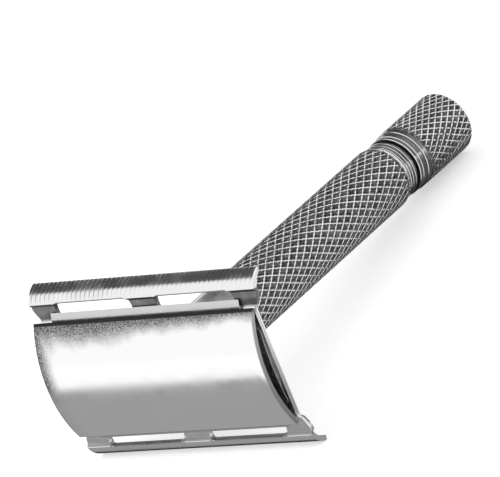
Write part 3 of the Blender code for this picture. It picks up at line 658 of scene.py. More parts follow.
class Surface(NodeSheet):
    """A metal's node tree, with the places on the razor's own axes in millimetres, and its wear."""

    def __init__(self, tree: bpy.types.NodeTree, scratch_width: float, pit_share: float) -> None:
        """Start the surface.

        Args:
            tree: the material's tree.
            scratch_width: the width of its hairlines, as a share of a cell.
            pit_share: how much of it is pitted.
        """
        super().__init__(tree)
        places = self.add("TexCoord").outputs["Object"]
        self.place = self.add("Mapping", {"Vector": places, "Location": AXES.origin,
                                          "Rotation": (AXES.turn, 0, 0), "Scale": (MM, MM, MM)},
                              vector_type="TEXTURE").outputs[0]
        self.wear = self.group(EFFECTS.handling, Scratch_Width=scratch_width, Pit_Share=pit_share)

    def group(self, tree: bpy.types.NodeTree, **values: float) -> bpy.types.bpy_prop_collection:
        """Place a shared group on the surface, and return its outputs."""
        inputs = {name.replace("_", " "): value for name, value in values.items()}
        return self.add("Group", {"Place": self.place, **inputs}, node_tree=tree).outputs

    def axes(self) -> tuple[Socket, Socket, Socket]:
        """A place's X, Y and Z."""
        return tuple(self.add("SeparateXYZ", {0: self.place}).outputs)

    def axis_distance(self) -> Socket:
        """How far a place lies from the razor's axis."""
        flat = self.add("VectorMath", {0: self.place, 1: (1.0, 1.0, 0.0)}, operation="MULTIPLY").outputs[0]
        return self.add("VectorMath", {0: flat}, operation="LENGTH").outputs["Value"]


@dataclass(frozen=True)
class MetalFinish:
    """What every metal finish of the razor has.

    Args:
        name: the material's name.
        colour: the clean metal's colour.
        stain_and_shade_colour: the colour of stains and dirt on it, and of the painted shade that some
            finishes mark.
        roughness: the polish of the clean metal.
        rough_span: how much rougher smudges make it.
        stain_and_shade_rough: how much rougher its stains and painted shade make it.
        pit_share: how much of it is pitted.
        pit_dark: how dark the pits are, from 0 to 1.
        scratch_width: the width of its hairlines, as a share of a cell.
        scratch_depth: their share of the finest relief.
        bump: the height of its finest relief, in metres.
    """

    name: str
    colour: Colour
    stain_and_shade_colour: Colour = (0.10, 0.10, 0.105)
    roughness: float = 0.16
    rough_span: float = 0.08
    stain_and_shade_rough: float = 0.3
    pit_share: float = 0.3
    pit_dark: float = 0.3
    scratch_width: float = 0.012
    scratch_depth: float = 0.4
    bump: float = 0.004 * MM

    def marks(self, metal: Surface) -> Socket:
        """Mark where stains, dirt and painted shade lie, which each finish has in its own places.

        Args:
            metal: the surface.

        Returns:
            How much of the stain and shade colour shows, from 0 to 1.
        """
        raise NotImplementedError

    def texture(self, metal: Surface) -> Socket | float:
        """The height of the finest relief without its scratches, from 0 to 1."""
        return 0.5

    def make(self) -> bpy.types.Material:
        """Build the material.

        Returns:
            The new material.
        """
        material = bpy.data.materials.new(self.name)
        material.use_nodes = True
        shader = material.node_tree.nodes["Principled BSDF"]
        metal = Surface(material.node_tree, self.scratch_width, self.pit_share)
        # Real stains and the painted shade that some finishes mark share one mask and one darker colour.
        stain = metal.largest(self.marks(metal), metal.product(metal.wear["Pit"], self.pit_dark))
        rough = metal.spread(metal.wear["Smudge"], 0.0, 1.0, self.roughness, self.roughness + self.rough_span)
        height = metal.math("SUBTRACT", self.texture(metal),
                            metal.product(metal.wear["Scratch"], self.scratch_depth))
        bump = metal.add("Bump", {"Height": height, "Distance": self.bump, "Strength": 1.0})
        metal.give(shader, "Metallic", 1.0)
        metal.give(shader, "Base Color", metal.mix_colours(stain, self.colour, self.stain_and_shade_colour))
        metal.give(shader, "Roughness", metal.math("ADD", rough, metal.product(stain, self.stain_and_shade_rough)))
        metal.give(shader, "Normal", bump.outputs[0])
        return material


@dataclass(frozen=True)
class CapFinish(MetalFinish):
    """Polished plate, darkened to a speckle along one long edge and one end of the cap, partly wear and
    partly a painted dark reflection.

    Args:
        half_length: from the cap's middle to its ends, in millimetres.
        half_width: from its middle to its long edges, in millimetres.
        long_stain_and_shade: how deep the speckled stain and painted reflection reach from the long edge at
            its two ends, in millimetres.
        end_stain_and_shade: how deep they reach from the end, in millimetres.
        edge_line: how wide the dark line on the long edge is, partly wear and partly painted shadow, in
            millimetres.
    """

    pit_dark: float = 0.25
    half_length: float = 21.6
    half_width: float = 9.95
    long_stain_and_shade: tuple[float, float] = (4.8, 2.2)
    end_stain_and_shade: float = 3.2
    edge_line: float = 0.75

    def marks(self, metal: Surface) -> Socket:
        """Mark a speckle that thickens towards two edges, partly wear and partly a painted dark reflection,
        and a dark line at every edge, partly painted shadow.

        Args:
            metal: the surface.

        Returns:
            How much of the stain and shade colour shows, from 0 to 1.
        """
        x, y, _ = metal.axes()
        from_end = metal.math("ADD", self.half_length, x)
        from_side = metal.math("SUBTRACT", self.half_width, y)
        # Partly wear and partly a painted dark reflection: a speckle that reaches in from one long edge and
        # from one end.
        drift = metal.spread(metal.noise(metal.place, 0.2, 3.0), 0.3, 0.7, 0.8, 1.2)
        reach = metal.product(metal.spread(from_end, 0.0, 2 * self.half_length, *self.long_stain_and_shade), drift)
        at_side = metal.spread(metal.math("DIVIDE", from_side, reach), 0.12, 1.0, 0.97, 0.0)
        at_end = metal.product(metal.spread(from_end, 0.1, self.end_stain_and_shade, 0.94, 0.0),
                               metal.spread(y, -3.5, 1.0, 0.1, 1.0))
        speckle = metal.spread(metal.noise(metal.place, 4.5, 5.0, 0.8), 0.38, 0.62, 0.55, 1.18)
        worn = metal.product(metal.largest(at_end, at_side), speckle)
        from_foot = metal.math("ADD", self.half_width, y)
        from_far_end = metal.math("SUBTRACT", self.half_length, x)
        # Partly wear and partly painted shadow: dark lines along every edge of the cap.
        lines = (metal.spread(away, start, end, dark, 0.0) for away, start, end, dark in (
            (from_side, 0.4, self.edge_line, 1.0), (from_end, 0.1, 0.3, 0.95),
            (from_foot, 0.05, 0.2, 0.8), (from_far_end, 0.03, 0.16, 0.55)))
        return metal.largest(metal.math("MINIMUM", worn, 0.97), *lines)


@dataclass(frozen=True)
class PlateFinish(MetalFinish):
    """Plate on pressed sheet, with painted shade and more roughness in one of the channels that the blade's
    edges stand over.

    Args:
        channel_from: where the shaded channel starts from the middle, in millimetres.
        channel_until: where it ends, in millimetres.
        channel_shade: how dark the painted shade in it is, from 0 to 1.
        ramp_shade: how dark the painted shade on the other channel's ramp is.
        lip_height: the height of the guards' lips, in millimetres.
        tooth_pitch: from groove to groove along the guards, in millimetres.
        teeth_from: where the grooves start from the middle, in millimetres.
        slot_span: between which places each slot lies along the blade, in millimetres.
        slot_reach: between which places it lies from the middle outward.
        slot_corner: the round of the slots' corners.
        rim_width: how wide the painted dark line round each slot is.
    """

    channel_from: float = 9.3
    channel_until: float = 12.42
    channel_shade: float = 0.86
    ramp_shade: float = 0.62
    lip_height: float = 76.85
    tooth_pitch: float = 0.9
    teeth_from: float = 12.5
    slot_span: tuple[float, float] = (2.5, 17.6)
    slot_reach: tuple[float, float] = (9.65, 12.45)
    slot_corner: float = 1.1
    rim_width: float = 0.22

    def marks(self, metal: Surface) -> Socket:
        """Mark painted shade in the channels, at the lips and round the slots, and darker bottoms in the
        guards' grooves.

        Args:
            metal: the surface.

        Returns:
            How much of the stain and shade colour shows, from 0 to 1.
        """
        x, y, z = metal.axes()
        out = metal.math("ABSOLUTE", y)
        # Painted shade: the channel on one side and the ramp on the other get a darker colour, in patches,
        # which stands for a darker reflection there.
        patch = metal.spread(metal.noise(metal.place, 0.7, 4.0), 0.25, 0.75, self.channel_shade - 0.1,
                             self.channel_shade + 0.06)
        shaded_channel = metal.product(metal.spread(out, self.channel_from, self.channel_from + 0.5), patch)
        ramp = metal.spread(out, self.channel_until - 0.6, self.channel_until - 0.45, 0.1, self.ramp_shade)
        channel = metal.add("Mix", {0: metal.spread(y, -1.0, 1.0), 2: ramp, 3: shaded_channel}).outputs[0]
        channel = metal.product(channel, metal.spread(out, self.channel_until - 0.1, self.channel_until,
                                                      1.0, 0.0))
        # Painted shade: a dark line at the guards' lips stands for the mirrored shadow where the plate meets
        # the floor.
        lip = metal.spread(z, self.lip_height - 0.1, self.lip_height + 0.25, 0.85, 0.0)
        return metal.largest(channel, lip, self._grooves(metal, x, out), self._slot_rims(metal, x, y, out))

    def _slot_rims(self, metal: Surface, x: Socket, y: Socket, out: Socket) -> Socket:
        """Mark a thin painted dark line round each slot, stronger on one side, from the distance to a
        rectangle with round corners.

        Args:
            metal: the surface.
            x: the place along the blade.
            y: the place across it, which tells the upper side from the lower.
            out: how far the place lies from the plate's middle.

        Returns:
            How dark the line is, from 0 to 1.
        """
        squares = []
        for value, (low, high) in ((metal.math("ABSOLUTE", x), self.slot_span), (out, self.slot_reach)):
            from_middle = metal.math("ABSOLUTE", metal.math("SUBTRACT", value, (low + high) / 2))
            beyond = metal.math("SUBTRACT", from_middle, (high - low) / 2 - self.slot_corner)
            beyond = metal.math("MAXIMUM", beyond, 0.0)
            squares.append(metal.product(beyond, beyond))
        distance = metal.math("SUBTRACT", metal.math("SQRT", metal.math("ADD", *squares)), self.slot_corner)
        # Painted shade: the line round the slots is darker on one side of the plate.
        return metal.product(metal.spread(distance, 0.1, self.rim_width, 1.0, 0.0),
                             metal.spread(y, -1.0, 1.0, 0.2, 0.85))

    def _grooves(self, metal: Surface, x: Socket, out: Socket) -> Socket:
        """Mark the bottoms of the guards' grooves, in patches, and fainter to the right.

        Args:
            metal: the surface.
            x: the place along the blade.
            out: how far the place lies from the plate's middle.

        Returns:
            How dark the grooves are, from 0 to 1.
        """
        turns = metal.math("FRACT", metal.math("MULTIPLY_ADD", x, 1 / self.tooth_pitch, 0.5))
        apart = metal.math("ABSOLUTE", metal.math("SUBTRACT", turns, 0.5))
        line = metal.product(metal.spread(apart, 0.06, 0.16, 0.6, 0.0),
                             metal.spread(out, self.teeth_from, self.teeth_from + 0.8))
        shown = metal.product(metal.spread(metal.noise(metal.place, 0.11, 3.0), 0.42, 0.58, 0.2, 1.0),
                              metal.spread(x, -12.0, 8.0, 0.8, 0.05))
        return metal.product(line, shown)


@dataclass(frozen=True)
class KnurlFinish(MetalFinish):
    """Plate on a knurl, with dirt down in the pits and in the grooves beside it.

    Args:
        ridge_radius: the ridges' radius, in millimetres.
        pit_depth: how deep under the ridges the dirt is thickest, in millimetres.
        dirt: how dark the pits' walls are, from 0 to 1.
        foot: the height and the radius at which the knurl starts, in millimetres.
        taper: how far above its foot the knurl has its full radius, in millimetres.
        drops: heights above which the clean radius is less, and by how much, in millimetres.
    """

    colour: Colour = (0.88, 0.88, 0.885)
    stain_and_shade_colour: Colour = (0.055, 0.055, 0.057)
    roughness: float = 0.13
    ridge_radius: float = 5.3
    pit_depth: float = 0.075
    dirt: float = 0.94
    foot: tuple[float, float] = (18.25, 4.93)
    taper: float = 0.95
    drops: Profile = ()

    def marks(self, metal: Surface) -> Socket:
        """Mark dirt that thickens from the ridges down into the pits.

        Args:
            metal: the surface.

        Returns:
            How much of the stain and shade colour shows, from 0 to 1.
        """
        height = metal.axes()[2]
        clean = metal.add("MapRange", {0: height, 1: self.foot[0], 2: self.foot[0] + self.taper,
                                       3: self.foot[1], 4: self.ridge_radius}).outputs[0]
        for level, drop in self.drops:
            over = metal.math("GREATER_THAN", height, level)
            clean = metal.math("SUBTRACT", clean, metal.product(over, drop))
        under = metal.math("SUBTRACT", clean, metal.axis_distance())
        deep = metal.product(metal.spread(under, 0.025, self.pit_depth, 0.0, self.dirt),
                             metal.spread(height, self.foot[0], self.foot[0] + 0.05))
        return metal.product(deep, metal.spread(metal.noise(metal.place, 0.9, 4.0), 0.3, 0.7, 0.9, 1.05))


@dataclass(frozen=True)
class TurnedFinish(MetalFinish):
    """Turned metal, with the lathe's fine rings and dirt in its grooves.

    Args:
        ring_share: how much of the relief is rings.
        clean_radius: the radius under which dirt sits, in millimetres.
        dirt: how dark that dirt is, from 0 to 1.
    """

    pit_dark: float = 0.5
    bump: float = 0.001 * MM
    ring_share: float = 0.5
    clean_radius: float = 0.0
    dirt: float = 0.9

    def marks(self, metal: Surface) -> Socket:
        """Mark the dirt in the grooves."""
        under = metal.math("SUBTRACT", self.clean_radius, metal.axis_distance())
        return metal.spread(under, 0.0, 0.06, 0.0, self.dirt)

    def texture(self, metal: Surface) -> Socket:
        """The lathe's rings."""
        return metal.product(metal.group(EFFECTS.lathe_lines)["Line"], self.ring_share)


@dataclass(frozen=True)
class BladeFinish(MetalFinish):
    """Rolled strip, with its grain along the blade and ground edges of another tone.

    Args:
        ground_from: where the ground edge starts from the middle, in millimetres.
        ground_dark: how dark the ground edge is, from 0 to 1.
    """

    pit_dark: float = 0.5
    scratch_depth: float = 0.3
    ground_from: float = 9.9
    ground_dark: float = 0.12

    def marks(self, metal: Surface) -> Socket:
        """Mark the ground edges."""
        out = metal.math("ABSOLUTE", metal.axes()[1])
        return metal.spread(out, self.ground_from, self.ground_from + 0.12, 0.0, self.ground_dark)

    def texture(self, metal: Surface) -> Socket:
        """The rolling grain."""
        return metal.group(EFFECTS.grain)["Line"]


# The head


@dataclass
class HeadCap:
    """The arched cap and the two index pins under it."""

    length: float = 43.2 * MM
    radius: float = 20.005 * MM
    half_angle: float = math.radians(29.829)
    axis_height: float = 63.489 * MM
    wall: float = 0.8 * MM
    rim_round: float = 0.12 * MM
    columns: int = 36
    rows: int = 64
    pin_offset: float = 13.1 * MM
    pin_radius: float = 1.5 * MM
    pin_head_radius: float = 2.2 * MM
    pin_top: float = 82.368 * MM
    pin_head_foot: float = 81.768 * MM
    pin_foot: float = 77.25 * MM
    pin_chamfer: float = 0.4 * MM
    pin_steps: int = 40
    finish: MetalFinish = CapFinish("cap_chrome", (0.96, 0.96, 0.965), stain_and_shade_colour=(0.035, 0.035, 0.037),
                                    roughness=0.13)
    plain_finish: MetalFinish = TurnedFinish("stud_chrome", (0.72, 0.72, 0.73), roughness=0.2)

    def build(self) -> list[Thing]:
        """Build the cap's pieces.

        Returns:
            The finished pieces.
        """
        plain = self.plain_finish.make()
        pieces = [self._shell()]
        profile = [(0.0, self.pin_top), (self.pin_head_radius, self.pin_top),
                   (self.pin_head_radius, self.pin_head_foot), (self.pin_radius, self.pin_head_foot),
                   (self.pin_radius, self.pin_foot + self.pin_chamfer),
                   (self.pin_radius - self.pin_chamfer, self.pin_foot), (0.0, self.pin_foot)]
        for name, across in (("index_pin_left", -self.pin_offset), ("index_pin_right", self.pin_offset)):
            pin = Workpiece(name + "_dressed").turn(profile, self.pin_steps).round_edges(FINE_EDGE)
            pieces.append(pin.move(across).lay_down(plain, Body.CAP, Slot.PLAIN_CHROME, name))
        return pieces

    def _shell(self) -> Thing:
        """Build the cap itself from a flat blank with a rounded rim, bent to its arc.

        Returns:
            The finished cap.
        """
        half_width = self.radius * self.half_angle
        columns = [self.length * (step / self.columns - 0.5) for step in range(self.columns + 1)]
        rows = [half_width * (2 * step / self.rows - 1) for step in range(self.rows + 1)]
        blank = SheetBlank("cap_shell_dressed", columns, rows).thicken(self.wall)
        blank.round_edges(self.rim_round, segments=3).form(self._bend)
        return blank.lay_down(self.finish.make(), Body.CAP, Slot.CAP_CHROME, "cap_shell")

    def _bend(self, place: Vector) -> Vector:
        """Bend a point of the blank to the cap's arc."""
        angle, radius = place.y / self.radius, self.radius + place.z
        return Vector((place.x, radius * math.sin(angle), self.axis_height + radius * math.cos(angle)))


@dataclass
class RazorBlade:
    """The double-edge blade, bowed between cap and plate.

    Each opening along its slot is given as (middle, length, width).
    """

    length: float = 42.9 * MM
    width: float = 22.0 * MM
    thickness: float = 0.1 * MM
    bow_radius: float = 38.49 * MM
    crown_height: float = 81.104 * MM
    edge_length: float = 37.2 * MM
    tab_width: float = 12.6 * MM
    tab_nick: float = 0.6 * MM
    tab_nick_width: float = 1.6 * MM
    tab_corner: float = 0.4 * MM
    slot_width: float = 2.3 * MM
    centre_hole: tuple[float, float, float] = (0.0, 6.4 * MM, 5.9 * MM)
    finger: tuple[float, float, float] = (8.1 * MM, 1.7 * MM, 6.4 * MM)
    diamond: tuple[float, float, float] = (13.1 * MM, 6.0 * MM, 7.0 * MM)
    end_bar: tuple[float, float, float] = (17.3 * MM, 1.9 * MM, 7.0 * MM)
    tip_share: float = 0.55
    shoulder_share: float = 0.85
    shoulder_drop_share: float = 0.4
    blunt_share: float = 0.3
    ground_width: float = 1.1 * MM
    edge_thickness: float = 0.012 * MM
    bow_steps: int = 7
    finish: MetalFinish = BladeFinish("blade_steel", (0.72, 0.725, 0.73), roughness=0.24, rough_span=0.06)

    def build(self) -> list[Thing]:
        """Build the blade.

        Returns:
            The finished piece.
        """
        sheet = Workpiece("blade_dressed")
        lines = []
        for loop in self._loops():
            points = [sheet.shape.verts.new((x, y, 0.0)) for x, y in loop]
            lines += [sheet.shape.edges.new((points[index - 1], points[index]))
                      for index in range(len(points))]
        bmesh.ops.triangle_fill(sheet.shape, edges=lines, use_beauty=True, use_dissolve=False)
        half = self.width / 2
        stations = [half - self.ground_width]
        stations += [half * step / self.bow_steps for step in range(self.bow_steps - 1, 0, -1)]
        for station in [0.0, *stations, *(-place for place in stations)]:
            sheet.slice_at((0, station, 0), (0, 1, 0))
        sheet.thicken(self.thickness).move(up=self.thickness / 2).form(self._bow)
        return [sheet.lay_down(self.finish.make(), Body.BLADE, Slot.BLADE_STEEL, "blade")]

    def _bow(self, place: Vector) -> Vector:
        """Grind a point's edge and bow it about the plate.

        Args:
            place: the point on the flat blade.

        Returns:
            Its place on the bowed blade.
        """
        half = self.width / 2
        ground = min(max((abs(place.y) - half + self.ground_width) / self.ground_width, 0.0), 1.0)
        depth = place.z * (1 - ground * (1 - self.edge_thickness / self.thickness))
        angle, radius = place.y / self.bow_radius, self.bow_radius + depth
        return Vector((place.x, radius * math.sin(angle),
                       self.crown_height - self.bow_radius + radius * math.cos(angle)))

    def _bar(self, middle: float, length: float, width: float) -> Profile:
        """The upper edge of a cross bar of the slot, with rounded tips.

        Args:
            middle: where the bar stands along the blade.
            length: its length along the blade.
            width: its width across it.

        Returns:
            The edge's points.
        """
        half, top = length / 2, width / 2
        tip = half * self.tip_share
        shoulder, drop = half * self.shoulder_share, tip * self.shoulder_drop_share
        return [(middle - half, self.slot_width / 2), (middle - half, top - tip),
                (middle - shoulder, top - drop), (middle - tip, top),
                (middle + tip, top), (middle + shoulder, top - drop), (middle + half, top - tip)]

    def _diamond(self, middle: float, length: float, width: float) -> Profile:
        """The upper edge of a diamond of the slot, with a blunt tip.

        Args:
            middle: where the diamond stands along the blade.
            length: its length along the blade.
            width: its width across it.

        Returns:
            The edge's points.
        """
        half, foot, blunt = length / 2, self.slot_width / 2, length / 2 * self.blunt_share
        return [(middle - half, foot), (middle - blunt, width / 2), (middle + blunt, width / 2),
                (middle + half, foot)]

    def _loops(self) -> list[Profile]:
        """Draw the blade's outline and the outline of its slot.

        Returns:
            The two outlines, as rings of points.
        """
        quarter = self._diamond(*self.centre_hole)[2:]
        quarter += self._bar(*self.finger)
        quarter.append((self.finger[0] + self.finger[1] / 2, self.slot_width / 2))
        quarter += self._diamond(*self.diamond)
        quarter += self._bar(*self.end_bar)
        upper = quarter[::-1] + [(-x, y) for x, y in quarter]
        edge, tab, end = self.edge_length / 2, self.tab_width / 2, self.length / 2
        foot = tab + self.tab_nick_width
        corner = [(end, tab - self.tab_corner), (end - self.tab_corner, tab), (edge - self.tab_nick, tab),
                  (edge - self.tab_nick, foot), (edge, foot + self.tab_nick), (edge, self.width / 2)]
        outline = corner + [(-x, y) for x, y in reversed(corner)]
        outline += [(-x, -y) for x, y in corner] + [(x, -y) for x, y in reversed(corner)]
        return [outline, upper + [(x, -y) for x, y in reversed(upper)]]


@dataclass
class GuardPlate:
    """The pressed base plate with its two rolled and serrated guards, and its ring."""

    wall: float = 0.8 * MM
    top_height: float = 79.65 * MM
    half_length: float = 22.25 * MM
    waist_half_length: float = 21.0 * MM
    waist_from: float = 8.6 * MM
    flare_until: float = 11.7 * MM
    bed_start: float = 7.4 * MM
    bed_end: float = 18.8 * MM
    bed_half_width: float = 5.4 * MM
    bed_ramp: float = 1.1 * MM
    bed_rise: float = 1.204 * MM
    bow_radius: float = 38.49 * MM
    channel_from: float = 9.2 * MM
    channel_ramp: float = 0.6 * MM
    channel_depth: float = 0.42 * MM
    crease: float = 12.45 * MM
    guard_radius: float = 4.0 * MM
    guard_start: float = math.radians(22)
    guard_end: float = math.radians(77)
    guard_rows: int = 17
    flat_rows_mm: tuple[float, ...] = (0.0, 0.9, 1.8, 2.7, 3.6, 4.5, 5.4, 5.67, 5.95, 6.23, 6.5, 7.2, 7.9,
                                       8.6, 9.2, 9.43, 9.65, 9.8, 10.5, 11.2, 11.9, 12.08, 12.26)
    slot_start: float = 2.5 * MM
    slot_end: float = 17.6 * MM
    slot_inner: float = 9.65 * MM
    slot_corner: float = 1.1 * MM
    stretch_from: float = 18.9 * MM
    tooth_pitch: float = 0.9 * MM
    tooth_depth: float = 0.04 * MM
    teeth_from: float = math.radians(32)
    teeth_full: float = math.radians(40)
    cuts_per_tooth: int = 6
    rim_round: float = 0.13 * MM
    pin_hole: float = 1.8 * MM
    pin_offset: float = 13.1 * MM
    spigot_hole: float = 4.5 * MM
    hole_round: float = 0.1 * MM
    hole_steps: int = 48
    ring_radius: float = 5.6 * MM
    ring_foot: float = 79.85 * MM
    ring_top: float = 80.45 * MM
    ring_steps: int = 96
    ring_round: float = 0.07 * MM
    notch_size: tuple[float, float, float] = (15 * MM, 1.0 * MM, 0.6 * MM)
    finish: MetalFinish = PlateFinish("plate_chrome", (0.87, 0.87, 0.875), roughness=0.17)
    ring_finish: MetalFinish = TurnedFinish("ring_chrome", (0.72, 0.72, 0.73), roughness=0.2)

    def build(self) -> list[Thing]:
        """Build the plate: cut it out flat, pierce it, round its rims and press it.

        Returns:
            The finished pieces.
        """
        blank = SheetBlank("base_plate_dressed", self._columns(), self._rows())
        for side in (-1, 1):
            for end in (-1, 1):
                across = sorted((end * self.slot_start, end * self.slot_end))
                along = sorted((side * self.slot_inner, side * self.crease))
                blank.open_slot((across[0], along[0]), (across[1], along[1]), self.slot_corner)
        blank.thicken(self.wall).round_edges(self.rim_round)
        for across, radius in ((0.0, self.spigot_hole), (-self.pin_offset, self.pin_hole),
                               (self.pin_offset, self.pin_hole)):
            blank.pierce(self._punch(radius).move(across))
        blank.form(self._press)
        plate = blank.lay_down(self.finish.make(), Body.HANDLE, Slot.PLATE_CHROME, "base_plate")
        return [plate, self._ring()]

    def _columns(self) -> list[float]:
        """Set lines across the plate, six to a tooth, with lines at the slots' ends.

        Returns:
            Where the lines stand, in rising order.
        """
        step = self.tooth_pitch / self.cuts_per_tooth
        places = [step * index for index in range(int(self.half_length / step))]
        for mark in (self.slot_start, self.slot_end):
            nearest = min(range(len(places)), key=lambda index: abs(places[index] - mark))
            places[nearest] = mark
        places.append(self.half_length)
        return [-place for place in reversed(places[1:])] + places

    def _rows(self) -> list[float]:
        """Set lines along the plate, closer where it is pressed.

        Returns:
            Where the lines stand, in rising order.
        """
        half = [place * MM for place in self.flat_rows_mm] + [self.crease]
        guard = self.guard_radius * (self.guard_end - self.guard_start)
        half += [self.crease + guard * step / self.guard_rows for step in range(1, self.guard_rows + 1)]
        return [-place for place in reversed(half[1:])] + half

    def _punch(self, radius: float) -> Workpiece:
        """Make a punch for a round hole with softened rims.

        Args:
            radius: the hole's radius.

        Returns:
            The punch.
        """
        soft, spare = self.hole_round, 5 * self.hole_round
        profile = [(0.0, spare), (radius + soft + spare, spare), (radius, -soft),
                   (radius, soft - self.wall), (radius + soft + spare, -self.wall - spare),
                   (0.0, -self.wall - spare)]
        return Workpiece("punch").turn(profile, self.hole_steps)

    def _bed(self, across: float, along: float) -> float:
        """Find how far the raised beds stand over the flat.

        Args:
            across: how far a place lies from the middle along the blade.
            along: how far it lies from the middle across it.

        Returns:
            The bed's height there.
        """
        rise = self.bed_rise - arc_drop(self.bow_radius, along)
        inside = smooth_step(across, self.bed_start, self.bed_start + self.bed_ramp)
        outside = 1 - smooth_step(across, self.bed_end - self.bed_ramp, self.bed_end)
        side = 1 - smooth_step(along, self.bed_half_width, self.bed_half_width + self.bed_ramp)
        return rise * inside * outside * side

    def _half_length_at(self, along: float) -> float:
        """Half the plate's length at a distance from its middle."""
        ease = smooth_step(along, self.waist_from, self.flare_until)
        return self.waist_half_length + (self.half_length - self.waist_half_length) * ease

    def _tooth(self, across: float) -> float:
        """How deep in a groove between teeth a place lies, from 0 to 1."""
        phase = abs((across / self.tooth_pitch) % 1.0 - 0.5) * 2
        return max(0.0, phase * 3 - 2)

    def _press(self, place: Vector) -> Vector:
        """Press a point of the flat blank to the plate's form.

        Args:
            place: the point on the blank.

        Returns:
            Its place on the plate.
        """
        along, across = abs(place.y), abs(place.x)
        if along <= self.crease:
            inner = smooth_step(along, self.channel_from, self.channel_from + self.channel_ramp)
            outer = smooth_step(along, self.crease - self.channel_ramp, self.crease)
            y, z = along, self._bed(across, along) - self.channel_depth * (inner - outer)
            lean = self.guard_start * outer
        else:
            lean = self.guard_start + (along - self.crease) / self.guard_radius
            y = self.crease + self.guard_radius * (math.sin(lean) - math.sin(self.guard_start))
            z = self.guard_radius * (math.cos(lean) - math.cos(self.guard_start))
        cut = self._tooth(across) * smooth_step(lean, self.teeth_from, self.teeth_full)
        depth = place.z - self.tooth_depth * cut * (1 + place.z / self.wall)
        y += depth * math.sin(lean)
        z += depth * math.cos(lean)
        if across > self.stretch_from:
            share = (across - self.stretch_from) / (self.half_length - self.stretch_from)
            across = self.stretch_from + share * (self._half_length_at(along) - self.stretch_from)
        return Vector((math.copysign(across, place.x), math.copysign(y, place.y), self.top_height + z))

    def _ring(self) -> Thing:
        """Build the notched ring that holds the plate on the collar's spigot.

        Returns:
            The finished ring.
        """
        profile = [(self.spigot_hole, self.ring_top), (self.ring_radius, self.ring_top),
                   (self.ring_radius, self.ring_foot), (self.spigot_hole, self.ring_foot)]
        ring = Workpiece("plate_ring_dressed").turn(profile, self.ring_steps)
        notch = Workpiece("notch").block(self.notch_size).move(up=self.ring_top)
        ring.pierce(notch).round_edges(self.ring_round)
        return ring.lay_down(self.ring_finish.make(), Body.HANDLE, Slot.PLAIN_CHROME, "plate_ring")


# Handle and knob


